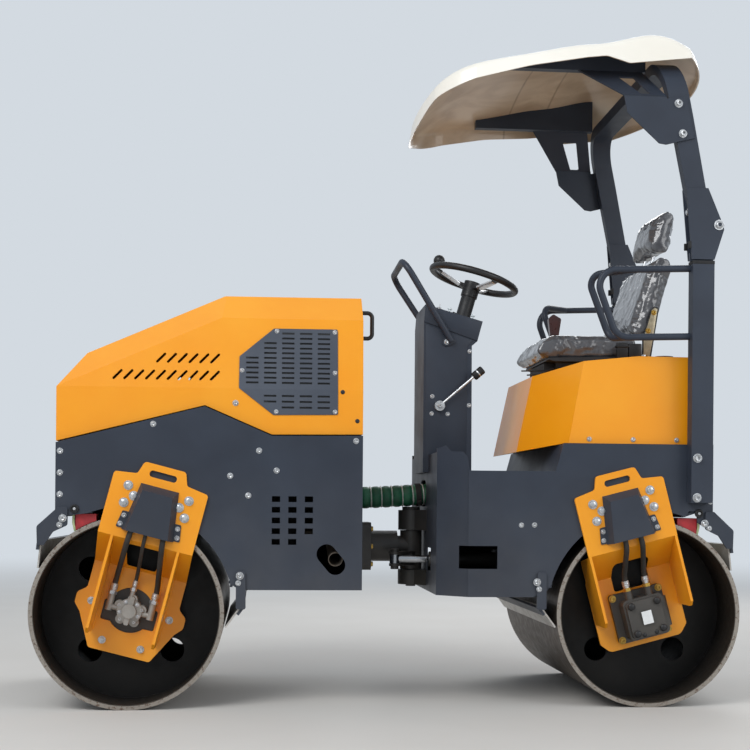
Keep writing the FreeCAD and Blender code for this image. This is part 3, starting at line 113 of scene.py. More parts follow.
def add_node(tree: bpy.types.NodeTree, kind: str, inputs: dict | None = None,
             **settings: object) -> bpy.types.Node:
    """Adds a node, sets its properties and fills or links its inputs.

    Args:
        tree: the material's nodes.
        kind: Blender's name for the node's class.
        inputs: a value or another node's output for each input, by its name or number.
        settings: the node's own properties.

    Returns:
        The new node.
    """
    made = tree.nodes.new(kind)
    for name, value in settings.items():
        setattr(made, name, value)
    for name, value in (inputs or {}).items():
        if isinstance(value, bpy.types.NodeSocket):
            tree.links.new(value, made.inputs[name])
        else:
            made.inputs[name].default_value = value
    return made


# Sockets of a Mix node that blends colours
MIX_FACTOR, MIX_A, MIX_B, MIX_RESULT = 0, 6, 7, 2
ROAD_DUST = "#A39A8C"


@dataclass(frozen=True)
class Finish:
    """A surface with two tones in soft patches, fine relief, rounded edges and a little road dust low down.

    Attributes:
        colour: the main tone, and tone the second one, in patches of patch_mm.
        roughness: its lowest and highest value, which drift three times as fast as the patches.
        grain_mm: spacing of the relief, whose height is relief_mm.
        edge_mm: radius of the light that runs along the edges.
        dust: share of pale road dust at the ground.
    """

    name: str
    colour: str
    tone: str
    patch_mm: float = 220.0
    roughness: tuple[float, float] = (0.3, 0.42)
    metallic: float = 0.0
    grain_mm: float = 2.0
    relief_mm: float = 0.02
    coat: float = 0.0
    edge_mm: float = 1.5
    dust: float = 0.0
    specular: float = 0.5
    dust_reach: tuple[float, float] = (200.0, 900.0)
    dust_clouds_mm: float = 1000 / 9

    def tones(self, tree: bpy.types.NodeTree, place: bpy.types.NodeSocket) -> bpy.types.NodeSocket:
        """Colour of the surface before dust: the second tone lies over the first in patches.

        Args:
            tree: the material's nodes.
            place: the object coordinates.

        Returns:
            The colour.
        """
        patches = add_node(tree, "ShaderNodeTexNoise", {"Vector": place, "Scale": 1 / (self.patch_mm * MM),
                                                        "Detail": 4.0, "Roughness": 0.6})
        share = add_node(tree, "ShaderNodeMapRange",
                         {"Value": patches.outputs["Fac"], "From Min": 0.38, "From Max": 0.66})
        mixed = add_node(tree, "ShaderNodeMix", {MIX_FACTOR: share.outputs[0], MIX_A: linear(self.colour),
                                                 MIX_B: linear(self.tone)}, data_type="RGBA")
        return mixed.outputs[MIX_RESULT]

    def relief(self, tree: bpy.types.NodeTree, place: bpy.types.NodeSocket) -> bpy.types.NodeSocket:
        """Height of the fine relief, from nought to one.

        Args:
            tree: the material's nodes.
            place: the object coordinates.

        Returns:
            The height.
        """
        grain = add_node(tree, "ShaderNodeTexNoise",
                         {"Vector": place, "Scale": 1 / (self.grain_mm * MM), "Detail": 2.0})
        return grain.outputs["Fac"]

    def dusted(self, tree: bpy.types.NodeTree, place: bpy.types.NodeSocket,
               colour: bpy.types.NodeSocket) -> bpy.types.NodeSocket:
        """Colour with pale dust that thins out above the drums' axles.

        Args:
            tree: the material's nodes.
            place: the object coordinates.
            colour: the clean colour.

        Returns:
            The dusted colour.
        """
        full, none = self.dust_reach
        height = add_node(tree, "ShaderNodeSeparateXYZ", {0: place}).outputs["Z"]
        low = add_node(tree, "ShaderNodeMapRange", {"Value": height, "From Min": none * MM,
                                                    "From Max": full * MM, "To Max": self.dust})
        clouds = add_node(tree, "ShaderNodeTexNoise", {"Vector": place, "Detail": 6.0,
                                                       "Scale": 1 / (self.dust_clouds_mm * MM)})
        share = add_node(tree, "ShaderNodeMath", {0: low.outputs[0], 1: clouds.outputs["Fac"]},
                         operation="MULTIPLY")
        mixed = add_node(tree, "ShaderNodeMix", {MIX_FACTOR: share.outputs[0], MIX_A: colour,
                                                 MIX_B: linear(ROAD_DUST)}, data_type="RGBA")
        return mixed.outputs[MIX_RESULT]

    def build(self) -> bpy.types.Material:
        """Makes the material.

        Returns:
            The material, under the finish's name.
        """
        material = bpy.data.materials.new(self.name)
        material.use_nodes = True
        tree = material.node_tree
        shader = tree.nodes["Principled BSDF"]
        place = add_node(tree, "ShaderNodeTexCoord").outputs["Object"]
        colour = self.tones(tree, place)
        if self.dust:
            colour = self.dusted(tree, place, colour)
        cloud = add_node(tree, "ShaderNodeTexNoise",
                         {"Vector": place, "Scale": 3 / (self.patch_mm * MM), "Detail": 5.0})
        rough = add_node(tree, "ShaderNodeMapRange",
                         {"Value": cloud.outputs["Fac"], "From Min": 0.3, "From Max": 0.7,
                          "To Min": self.roughness[0], "To Max": self.roughness[1]})
        edge = add_node(tree, "ShaderNodeBevel", {"Radius": self.edge_mm * MM}, samples=4)
        bump = add_node(tree, "ShaderNodeBump", {"Height": self.relief(tree, place), "Strength": 1.0,
                                                 "Distance": self.relief_mm * MM, "Normal": edge.outputs[0]})
        tree.links.new(colour, shader.inputs["Base Color"])
        tree.links.new(rough.outputs[0], shader.inputs["Roughness"])
        tree.links.new(bump.outputs[0], shader.inputs["Normal"])
        shader.inputs["Metallic"].default_value = self.metallic
        shader.inputs["Specular IOR Level"].default_value = self.specular
        shader.inputs["Coat Weight"].default_value = self.coat
        shader.inputs["Coat Roughness"].default_value = 0.12
        return material


@dataclass(frozen=True)
class DrumSteel(Finish):
    """Rolled steel shell: brushed round by the road outside, rust specks on the rim, painted shade in near
    black inside.

    Attributes:
        axle_x: the drum's axle along the machine.
        streak_mm: width of the road's brush marks, which are fifteen times as long.
        speck_mm: spacing of the rust specks.
        wall_mm: the shell's thickness.
        dust_and_bounce_depth: how far road dust and a painted bounce of floor light reach into the drum.
    """

    axle_x: float = 0.0
    streak_mm: float = 1000 / 72
    speck_mm: float = 1000 / 70
    wall_mm: float = 15.0
    dust_and_bounce_depth: float = 190.0

    def shell(self, tree: bpy.types.NodeTree, place: bpy.types.NodeSocket) -> tuple:
        """Brush marks, rust specks and bare steel.

        Args:
            tree: the material's nodes.
            place: the object coordinates.

        Returns:
            The share of the brush marks, the specks, and the colours of the outside and of the rim.
        """
        streaks_at = add_node(tree, "ShaderNodeMapping", {"Vector": place, "Scale": (1 / 15, 1.0, 1 / 15)})
        streaks = add_node(tree, "ShaderNodeTexNoise", {"Vector": streaks_at.outputs[0], "Detail": 6.0,
                                                        "Scale": 1 / (self.streak_mm * MM)})
        share = add_node(tree, "ShaderNodeMapRange", {"Value": streaks.outputs["Fac"], "From Min": 0.35,
                                                      "From Max": 0.7})
        outside = add_node(tree, "ShaderNodeMix", {MIX_FACTOR: share.outputs[0], MIX_A: linear(self.colour),
                                                   MIX_B: linear(self.tone)}, data_type="RGBA")
        specks = add_node(tree, "ShaderNodeTexNoise", {"Vector": place, "Scale": 1 / (self.speck_mm * MM),
                                                       "Detail": 8.0, "Roughness": 0.75})
        rusty = add_node(tree, "ShaderNodeMapRange", {"Value": specks.outputs["Fac"], "From Min": 0.52,
                                                      "From Max": 0.62})
        rim = add_node(tree, "ShaderNodeMix", {MIX_FACTOR: rusty.outputs[0], MIX_A: linear("#9C958C"),
                                               MIX_B: linear("#5E4638")}, data_type="RGBA")
        return share, specks, outside, rim

    def tones(self, tree: bpy.types.NodeTree, place: bpy.types.NodeSocket) -> bpy.types.NodeSocket:
        """Steel outside, rust-flecked rim and near-black painted shade inside, told apart by distance from
        the axle.

        Args:
            tree: the material's nodes.
            place: the object coordinates.

        Returns:
            The colour.
        """
        share, specks, outside, rim = self.shell(tree, place)
        axis = add_node(tree, "ShaderNodeMapping",
                        {"Vector": place, "Location": (-self.axle_x * MM, 0.0, -DRUM_RADIUS * MM)})
        parts = add_node(tree, "ShaderNodeSeparateXYZ", {0: axis.outputs[0]})
        flat = add_node(tree, "ShaderNodeCombineXYZ", {"X": parts.outputs["X"], "Z": parts.outputs["Z"]})
        reach = add_node(tree, "ShaderNodeVectorMath", {0: flat.outputs[0]}, operation="LENGTH")
        inner = add_node(tree, "ShaderNodeMath", {0: reach.outputs["Value"],
                                                  1: (DRUM_RADIUS - self.wall_mm) * MM},
                         operation="LESS_THAN")
        side = add_node(tree, "ShaderNodeMath", {0: parts.outputs["Y"]}, operation="ABSOLUTE")
        end = add_node(tree, "ShaderNodeMath", {0: side.outputs[0], 1: (DRUM_HALF - 2) * MM},
                       operation="GREATER_THAN")
        with_rim = add_node(tree, "ShaderNodeMix", {MIX_FACTOR: end.outputs[0],
                                                    MIX_A: outside.outputs[MIX_RESULT],
                                                    MIX_B: rim.outputs[MIX_RESULT]}, data_type="RGBA")
        # Near black inside the drum: painted shade of its hollow
        shade_black = add_node(tree, "ShaderNodeMix", {MIX_FACTOR: share.outputs[0], MIX_A: linear("#121212"),
                                                 MIX_B: linear("#1C1B1A")}, data_type="RGBA")
        # Paler towards the open rim: road dust and a painted bounce of light from the floor
        near_rim = add_node(tree, "ShaderNodeMapRange", {"Value": side.outputs[0],
                                                         "From Min": (DRUM_HALF - self.dust_and_bounce_depth) * MM,
                                                         "From Max": DRUM_HALF * MM, "To Max": 0.8})
        dust_and_bounce = add_node(tree, "ShaderNodeMath", {0: near_rim.outputs[0], 1: specks.outputs["Fac"]},
                         operation="MULTIPLY")
        inside = add_node(tree, "ShaderNodeMix", {MIX_FACTOR: dust_and_bounce.outputs[0],
                                                  MIX_A: shade_black.outputs[MIX_RESULT],
                                                  MIX_B: linear("#6E655B")}, data_type="RGBA")
        mixed = add_node(tree, "ShaderNodeMix", {MIX_FACTOR: inner.outputs[0],
                                                 MIX_A: with_rim.outputs[MIX_RESULT],
                                                 MIX_B: inside.outputs[MIX_RESULT]}, data_type="RGBA")
        return mixed.outputs[MIX_RESULT]


@dataclass(frozen=True)
class CanopyShell(Finish):
    """Laid-up glass fibre: glossy white gel coat above, and beneath a dull beige of painted shade with faint
    cross seams.

    Attributes:
        seams: where the seams lie along the machine.
        seam_mm: half the width of a seam's dark core and of its soft edge.
        mark_mm: spacing of the laminate's marks.
        shade_turn: the skin takes the beige painted shade where the upward part of its normal is below this.
    """

    seams: tuple[float, ...] = (590.0, 760.0)
    seam_mm: tuple[float, float] = (2.0, 6.0)
    mark_mm: float = 200.0
    shade_turn: float = -0.12

    def seamed(self, tree: bpy.types.NodeTree, place: bpy.types.NodeSocket, colour: bpy.types.NodeSocket,
               seam: float) -> bpy.types.Node:
        """Darkens a narrow line across the shell.

        Args:
            tree: the material's nodes.
            place: the object coordinates.
            colour: the colour beside the line.
            seam: the line's distance along the machine.

        Returns:
            The node that mixes the line in.
        """
        core, soft = self.seam_mm
        along_x = add_node(tree, "ShaderNodeSeparateXYZ", {0: place}).outputs["X"]
        away = add_node(tree, "ShaderNodeMath", {0: along_x, 1: seam * MM}, operation="SUBTRACT")
        reach = add_node(tree, "ShaderNodeMath", {0: away.outputs[0]}, operation="ABSOLUTE")
        line = add_node(tree, "ShaderNodeMapRange", {"Value": reach.outputs[0], "From Min": soft * MM,
                                                     "From Max": core * MM, "To Max": 0.55})
        return add_node(tree, "ShaderNodeMix", {MIX_FACTOR: line.outputs[0], MIX_A: colour,
                                                MIX_B: linear("#86705A")}, data_type="RGBA")

    def tones(self, tree: bpy.types.NodeTree, place: bpy.types.NodeSocket) -> bpy.types.NodeSocket:
        """White where the skin faces up or out; beige painted shade with faint laminate marks where it faces
        down.

        Args:
            tree: the material's nodes.
            place: the object coordinates.

        Returns:
            The colour.
        """
        normal = add_node(tree, "ShaderNodeTexCoord").outputs["Normal"]
        facing = add_node(tree, "ShaderNodeSeparateXYZ", {0: normal})
        # Where the skin faces down it turns beige: painted shade under the roof
        under = add_node(tree, "ShaderNodeMath", {0: facing.outputs["Z"], 1: self.shade_turn},
                         operation="LESS_THAN")
        marks = add_node(tree, "ShaderNodeTexNoise", {"Vector": place, "Scale": 1 / (self.mark_mm * MM),
                                                      "Detail": 6.0, "Distortion": 1.2})
        share = add_node(tree, "ShaderNodeMapRange", {"Value": marks.outputs["Fac"], "From Min": 0.4,
                                                      "From Max": 0.66})
        underside_shade = add_node(tree, "ShaderNodeMix", {MIX_FACTOR: share.outputs[0], MIX_A: linear("#CDB89E"),
                                                 MIX_B: linear("#B79F84")}, data_type="RGBA")
        for seam in self.seams:
            underside_shade = self.seamed(tree, place, underside_shade.outputs[MIX_RESULT], seam)
        above = super().tones(tree, place)
        mixed = add_node(tree, "ShaderNodeMix", {MIX_FACTOR: under.outputs[0], MIX_A: above,
                                                 MIX_B: underside_shade.outputs[MIX_RESULT]}, data_type="RGBA")
        return mixed.outputs[MIX_RESULT]


@dataclass(frozen=True)
class FilmedVinyl(Finish):
    """Black vinyl seen through a clear packing film, whose creases are pale streaks of film haze and painted
    highlight.
    """

    crease_mm: float = 46.0

    def creases(self, tree: bpy.types.NodeTree, place: bpy.types.NodeSocket) -> bpy.types.NodeSocket:
        """Sharp-crested folds of the film.

        Args:
            tree: the material's nodes.
            place: the object coordinates.

        Returns:
            The folds' height, highest along the crests.
        """
        folds = add_node(tree, "ShaderNodeTexNoise", {"Vector": place, "Scale": 1 / (self.crease_mm * MM),
                                                      "Detail": 5.0, "Roughness": 0.62, "Distortion": 1.6},
                         noise_type="RIDGED_MULTIFRACTAL")
        return folds.outputs["Fac"]

    def tones(self, tree: bpy.types.NodeTree, place: bpy.types.NodeSocket) -> bpy.types.NodeSocket:
        """Vinyl in the hollows, and along the crests hazy film with a painted highlight.

        Args:
            tree: the material's nodes.
            place: the object coordinates.

        Returns:
            The colour.
        """
        # Pale crests: the film's haze and a painted highlight
        haze_and_highlight = add_node(tree, "ShaderNodeMapRange", {"Value": self.creases(tree, place), "From Min": 0.9,
                                                      "From Max": 2.3})
        mixed = add_node(tree, "ShaderNodeMix", {MIX_FACTOR: haze_and_highlight.outputs[0], MIX_A: linear(self.colour),
                                                 MIX_B: linear(self.tone)}, data_type="RGBA")
        return mixed.outputs[MIX_RESULT]

    def relief(self, tree: bpy.types.NodeTree, place: bpy.types.NodeSocket) -> bpy.types.NodeSocket:
        """The film's folds are its relief."""
        return self.creases(tree, place)


# Stoved enamel: even and glossy, with a faint orange peel that softens reflections
YELLOW = Finish("stoved_enamel_yellow", "#EE9710", "#F19F1A", 400, (0.3, 0.38), grain_mm=2.4,
                relief_mm=0.03, coat=0.2, dust=0.06, specular=0.4)
# Polyester powder coat: satin and slightly pebbled, so that highlights spread
SLATE = Finish("powder_coat_slate", "#2D333E", "#333A46", 320, (0.4, 0.5), grain_mm=1.6, relief_mm=0.04,
               dust=0.14, specular=0.3)
# The same coat on the grilles, smoother, and paler as a painted reflection of the sky
GRILLE_SHEEN_COAT = Finish("powder_coat_slate_grille_painted_sheen", "#434954", "#4B515C", 320, (0.32, 0.42), grain_mm=1.6,
                     relief_mm=0.04, dust=0.1)
# Sprayed chassis enamel: near black, dulled by dust
BLACK = Finish("chassis_enamel_black", "#17181A", "#212225", 120, (0.38, 0.55), grain_mm=2.2,
               relief_mm=0.05, dust=0.3)
# Hot-rolled steel: brown-grey scale with a dull sheen
SPRING_STEEL = Finish("hot_rolled_steel", "#5B554E", "#74695C", 60, (0.42, 0.62), metallic=0.75,
                      grain_mm=1.2, relief_mm=0.06, dust=0.3)
# Sand-cast iron: rough grain, no gloss
CAST_IRON = Finish("sand_cast_iron", "#232427", "#2E2F33", 90, (0.6, 0.75), metallic=0.3, grain_mm=1.4,
                   relief_mm=0.3)
# Ground and hard-chromed rod: mirrors its surroundings
CHROME = Finish("hard_chrome_plate", "#B9BCC0", "#A9ACB0", 80, (0.08, 0.2), metallic=1.0, grain_mm=0.8,
                relief_mm=0.005)
# Moulded rubber: black and matt, with dust in its pores
RUBBER = Finish("moulded_rubber", "#131314", "#1C1C1D", 60, (0.6, 0.78), grain_mm=0.9, relief_mm=0.08,
                dust=0.2)
# Moulded plastic: fine eroded texture, half gloss
PLASTIC = Finish("moulded_plastic_black", "#151516", "#1E1E20", 90, (0.35, 0.5), grain_mm=0.8,
                 relief_mm=0.05)
# Clear-passivated zinc on steel: bright, slightly clouded
ZINC = Finish("zinc_plated_steel", "#D4D6D8", "#A9ABAD", 14, (0.22, 0.4), metallic=0.75, grain_mm=0.8,
              relief_mm=0.02, edge_mm=0.6)
# Glass fibre laid up in a mould under a white gel coat: glossy skin with long soft waves, beige painted shade
# beneath
WHITE_SHELL = CanopyShell("gel_coated_glass_fibre", "#EFEBE1", "#E7E2D6", 500, (0.28, 0.4), grain_mm=6.0,
                          relief_mm=0.05, coat=0.3, edge_mm=3.0)
# Black vinyl in clear packing film: grey haze, with bright creases of haze and painted highlight
FILMED = FilmedVinyl("vinyl_under_clear_film", "#4A4B4F", "#A2A4A8", 300, (0.22, 0.36), relief_mm=0.9,
                     coat=1.0, edge_mm=1.0)
# Gravity-cast aluminium: matt silver skin with a sandy grain
CAST_SILVER = Finish("gravity_cast_aluminium", "#A5A39E", "#8E8C87", 60, (0.42, 0.6), metallic=0.5,
                     grain_mm=1.3, relief_mm=0.18, dust=0.15)
# Coated cloth of the air hose: dull green with a woven grain
HOSE_GREEN = Finish("coated_cloth_hose_green", "#1E6A4A", "#16523A", 50, (0.42, 0.58), grain_mm=1.1,
                    relief_mm=0.12)
# Ground steel strip: pale, with worn bright patches
BLADE_STEEL = Finish("ground_steel_strip", "#C9C6C1", "#ADA79F", 40, (0.3, 0.46), metallic=0.6,
                     grain_mm=0.8, relief_mm=0.03, dust=0.2)
# Yellow-passivated zinc: brassy, uneven in tone
PASSIVATED = Finish("yellow_passivated_zinc", "#C8A552", "#AD8A42", 12, (0.28, 0.42), metallic=0.8,
                    grain_mm=0.8, relief_mm=0.02, edge_mm=0.6)
# The same plating gone pale and dull
FADED_PLATE = Finish("faded_zinc_plate", "#B3A98F", "#968C76", 30, (0.35, 0.5), metallic=0.4, grain_mm=0.8,
                     relief_mm=0.03, edge_mm=0.6)
# Galvanised wire: whitish, hardly mirrors
GALVANISED = Finish("galvanised_wire", "#D6D7D2", "#BCBDB8", 12, (0.35, 0.5), metallic=0.3, grain_mm=0.8,
                    relief_mm=0.02, edge_mm=0.4)
# Polished aluminium: near white, with sharp highlights
POLISHED = Finish("polished_aluminium", "#E6E7E8", "#D2D3D5", 40, (0.14, 0.24), metallic=0.55,
                  grain_mm=0.8, relief_mm=0.005, edge_mm=0.6)
# Unprinted label film: flat white, half gloss
BLANK_FILM = Finish("printed_film_blank", "#E4E6E6", "#D9DBDB", 30, (0.3, 0.4), grain_mm=1.0,
                    relief_mm=0.01, edge_mm=0.3)
# Cast urethane: deep red, waxy
RED_PAD = Finish("cast_urethane_red", "#B0202A", "#8F1A22", 40, (0.45, 0.6), grain_mm=1.2, relief_mm=0.1,
                 dust=0.15)
# Needled felt: pale green and fibrous, no gloss at all
FELT = Finish("needled_felt_green", "#B7C495", "#9FAE7F", 25, (0.85, 0.95), grain_mm=1.0, relief_mm=0.5,
              dust=0.2)
# Moulded grip: dark oxblood under a clear gloss
OXBLOOD = Finish("moulded_grip_oxblood", "#4A1F18", "#381611", 40, (0.25, 0.36), grain_mm=0.9,
                 relief_mm=0.04, coat=0.4)
# Moulded acrylic lenses: even colour, hard gloss
LENS = {name: Finish(f"lamp_lens_{name}", code, code, 20, (0.12, 0.2), relief_mm=0.0, coat=1.0, edge_mm=0.3)
        for name, code in (("clear", "#C9D2D6"), ("amber", "#D98A1C"), ("green", "#3E9A57"),
                           ("red", "#B0322B"))}
# Rolled steel plate, worn by the road: brown-grey with brush marks round the drum, and near-black painted
# shade inside
FRONT_DRUM, REAR_DRUM = (DrumSteel(f"rolled_steel_{end}", "#4B4139", "#62574D", 90, (0.36, 0.52),
                                   metallic=0.65, grain_mm=2.0, relief_mm=0.08, axle_x=axle)
                         for end, axle in (("front", -HALF_BASE), ("rear", HALF_BASE)))


class Finishes:
    """Makes each finish once and hands its material out.

    Attributes:
        SLOTS: the finish of each material slot in the record.
        NODES: the nodes whose finish differs from their slot's.
    """

    SLOTS = {
        "yellow_paint": YELLOW, "slate_paint": SLATE, "black_paint": BLACK, "spring_steel": SPRING_STEEL,
        "engine_grey": CAST_IRON, "hard_chrome": CHROME, "canopy_white": WHITE_SHELL, "seat_black": FILMED,
        "hose_rubber": RUBBER, "grip_plastic": PLASTIC, "bright_zinc": ZINC, "drum_steel": FRONT_DRUM,
        "cast_silver": CAST_SILVER, "hose_green": HOSE_GREEN,
    }
    NODES = {
        "rear_drum": REAR_DRUM, "front_scraper_blades": BLADE_STEEL, "rear_scraper_blades": BLADE_STEEL,
        # The grilles' paler coat is a painted reflection of the sky
        "travel_lever": OXBLOOD, "drive_lever": ZINC, "hood_grilles": GRILLE_SHEEN_COAT,
    }

    def __init__(self) -> None:
        """Starts with no material made."""
        self.made: dict[Finish, bpy.types.Material] = {}

    def get(self, finish: Finish) -> bpy.types.Material:
        """Makes a finish's material when it is first asked for.

        Args:
            finish: the surface.

        Returns:
            Its material.
        """
        if finish not in self.made:
            self.made[finish] = finish.build()
        return self.made[finish]

    def dress(self, frame: dict) -> None:
        """Gives every carried-over node the finish of its slot.

        Args:
            frame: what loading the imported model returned.
        """
        slots = {part["node"]: part["material_slot"] for part in frame["record"]["subparts"]}
        for name, obj in frame["nodes"].items():
            finish = self.NODES.get(name) or self.SLOTS[slots[name]]
            for place in obj.material_slots:
                place.material = self.get(finish)
        log.info("dressed %d nodes", len(frame["nodes"]))


@dataclass
class Shop:
    """What every sub-assembly needs to make a piece: the loaded model, the finishes and a count."""

    frame: dict
    finishes: Finishes
    count: int = 0

    def piece(self, bm: bmesh.types.BMesh, name: str, body: str, finish: Finish, slot: str,
              smooth_deg: float = 35.0) -> bpy.types.Object:
        """Turns a bmesh into a piece that rides on a body.

        Args:
            bm: the shape, in metres in the machine's frame; it is freed.
            name: the piece's name.
            body: the body that carries it.
            finish: its surface.
            slot: the record's material slot; not used.
            smooth_deg: edges that turn less than this are shaded smooth.

        Returns:
            The new object.
        """
        bmesh.ops.remove_doubles(bm, verts=bm.verts, dist=MERGE)
        bmesh.ops.recalc_face_normals(bm, faces=bm.faces)
        mesh = bpy.data.meshes.new(name)
        bm.to_mesh(mesh)
        bm.free()
        mesh.shade_smooth()
        mesh.set_sharp_from_angle(angle=math.radians(smooth_deg))
        mesh.materials.append(self.finishes.get(finish))
        obj = bpy.data.objects.new(name, mesh)
        bpy.context.scene.collection.objects.link(obj)
        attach(obj, body)
        self.count += 1
        log.info("piece %s on %s", name, body)
        return obj


# Basic forms

# Points closer than this are one, in metres
MERGE = 1e-6


def turned(profile: Iterable[tuple[float, float]], steps: int = 20, ring: bool = False) -> bmesh.types.BMesh:
    """Spins a half profile about Z.

    Args:
        profile: distance from the axis and height of each corner, in millimetres.
        steps: flats round the form.
        ring: joins the last corner to the first, for a form that is open in the middle.

    Returns:
        The form, in metres.
    """
    form = bmesh.new()
    points = [form.verts.new((reach * MM, 0, height * MM)) for reach, height in profile]
    following = points[1:] + points[:1] if ring else points[1:]
    edges = [form.edges.new(ends) for ends in zip(points, following)]
    bmesh.ops.spin(form, geom=points + edges, cent=(0, 0, 0), axis=(0, 0, 1), angle=math.tau, steps=steps,
                   use_merge=True)
    bmesh.ops.remove_doubles(form, verts=form.verts, dist=MERGE)
    return form


def prism(outline: Iterable[tuple[float, float]], near: float, far: float,
          edge: float = 0.0) -> bmesh.types.BMesh:
    """Extrudes an outline in X and Z across the machine.

    Args:
        outline: its corners, in millimetres.
        near: where it starts along Y.
        far: where it ends.
        edge: width of the bevel on its edges, in millimetres.

    Returns:
        The form, in metres.
    """
    form = bmesh.new()
    face = form.faces.new([form.verts.new((x * MM, near * MM, z * MM)) for x, z in outline])
    grown = bmesh.ops.extrude_face_region(form, geom=[face], use_keep_orig=True)
    moved = [item for item in grown["geom"] if isinstance(item, bmesh.types.BMVert)]
    bmesh.ops.translate(form, vec=(0, (far - near) * MM, 0), verts=moved)
    if edge:
        bmesh.ops.bevel(form, geom=form.edges[:], offset=edge * MM, segments=2, profile=0.5, affect="EDGES",
                        material=-1)
    return form


def block(low: tuple[float, float, float], high: tuple[float, float, float],
          edge: float = 0.0) -> bmesh.types.BMesh:
    """Block between two corners in millimetres, bevelled where an edge width is given."""
    outline = ((low[0], low[2]), (high[0], low[2]), (high[0], high[2]), (low[0], high[2]))
    return prism(outline, low[1], high[1], edge)


def wire(points: Iterable[tuple[float, float, float]], radius: float) -> bmesh.types.BMesh:
    """Round bar along a smooth line.

    Args:
        points: the line's control points, in millimetres.
        radius: half the bar's thickness, in millimetres.

    Returns:
        The form, in metres.
    """
    points = list(points)
    curve = bpy.data.curves.new("wire", "CURVE")
    curve.dimensions = "3D"
    curve.bevel_depth = radius * MM
    curve.bevel_resolution = 3
    curve.use_fill_caps = True
    spline = curve.splines.new("NURBS")
    spline.points.add(len(points) - 1)
    for point, spot in zip(spline.points, points):
        point.co = (*(value * MM for value in spot), 1)
    spline.order_u = 3
    spline.use_endpoint_u = True
    obj = bpy.data.objects.new("wire", curve)
    mesh = bpy.data.meshes.new_from_object(obj)
    form = bmesh.new()
    form.from_mesh(mesh)
    bpy.data.objects.remove(obj)
    bpy.data.curves.remove(curve)
    bpy.data.meshes.remove(mesh)
    return form


def put(bm: bmesh.types.BMesh, form: bmesh.types.BMesh, stand: Matrix | None = None) -> None:
    """Adds a form to a bmesh and frees it.

    Args:
        bm: the bmesh that receives it.
        form: what is added.
        stand: where it goes, or nothing where it is in its place already.
    """
    if stand is not None:
        bmesh.ops.transform(form, matrix=stand, verts=form.verts)
    mesh = bpy.data.meshes.new("form")
    form.to_mesh(mesh)
    form.free()
    bm.from_mesh(mesh)
    bpy.data.meshes.remove(mesh)


def put_both(bm: bmesh.types.BMesh, form: bmesh.types.BMesh) -> None:
    """Adds a form of the left-hand side, and its mirror image on the right.

    Args:
        bm: the bmesh that receives them.
        form: the left-hand one, in its place; it is freed.
    """
    put(bm, form.copy(), flipped(LEFT))
    put(bm, form, flipped(RIGHT))


def at(x: float, y: float, z: float) -> Matrix:
    """Move to a point in millimetres."""
    return Matrix.Translation((x * MM, y * MM, z * MM))


def flipped(side: int) -> Matrix:
    """Leaves a form on the left-hand side, or mirrors it to the right."""
    return Matrix.Diagonal((1, -side, 1, 1))


def outward(side: int) -> Matrix:
    """Turn that points a head's axis away from the centre plane on one side."""
    return Matrix.Rotation(math.radians(-90 * side), 4, "X")


def along(direction: tuple[float, float, float]) -> Matrix:
    """Turn that points a form's axis along a direction."""
    return Vector((0, 0, 1)).rotation_difference(Vector(direction)).to_matrix().to_4x4()


# Fasteners


class Head(Enum):
    """Kinds of screw head."""

    BUTTON = "button"
    HEX = "hex"
    SOCKET = "socket"


# Turned profiles of each head and its washer: flats, then distance from the axis and height as shares of
# the head's radius
HEAD_FORMS = {
    Head.BUTTON: ((20, ((0, 0.24), (0.36, 0.24), (0.4, 0.62), (0.62, 0.72), (0.86, 0.55), (1, 0.27),
                        (1, 0.18), (1.28, 0.18), (1.32, 0.12), (1.32, 0), (0, 0))),),
    Head.HEX: ((6, ((0, 0.92), (0.8, 0.92), (0.98, 0.82), (1, 0.16), (0, 0.16))),
               (20, ((0, 0.18), (1.4, 0.18), (1.45, 0.12), (1.45, 0), (0, 0)))),
    Head.SOCKET: ((20, ((0, 0.5), (0.5, 0.5), (0.52, 1.16), (0.9, 1.2), (1, 1.08), (1, 0.18), (1.4, 0.18),
                        (1.44, 0.12), (1.44, 0), (0, 0))),),
}


def add_head(bm: bmesh.types.BMesh, head: Head, radius: float, stand: Matrix) -> None:
    """Adds one screw head with its washer.

    Args:
        bm: the bmesh that receives it.
        head: its kind.
        radius: half its width, in millimetres.
        stand: where its washer lies, with Z pointing out of the surface.
    """
    for steps, profile in HEAD_FORMS[head]:
        put(bm, turned([(reach * radius, height * radius) for reach, height in profile], steps), stand)


@dataclass(frozen=True)
class BoltSet:
    """Like bolts that lie in one plane, repeated on the machine's other side.

    Attributes:
        face: the plane's distance from the centre plane.
        places: X and Z of each bolt.
    """

    name: str
    body: str
    head: Head
    radius: float
    face: float
    places: tuple[tuple[float, float], ...]


# Faces of the scraper arms on the frames and of the console's covers
ARM_FACE = FRAME_FACE + 8
COVER_FACE = CONSOLE_FACE + 1.6

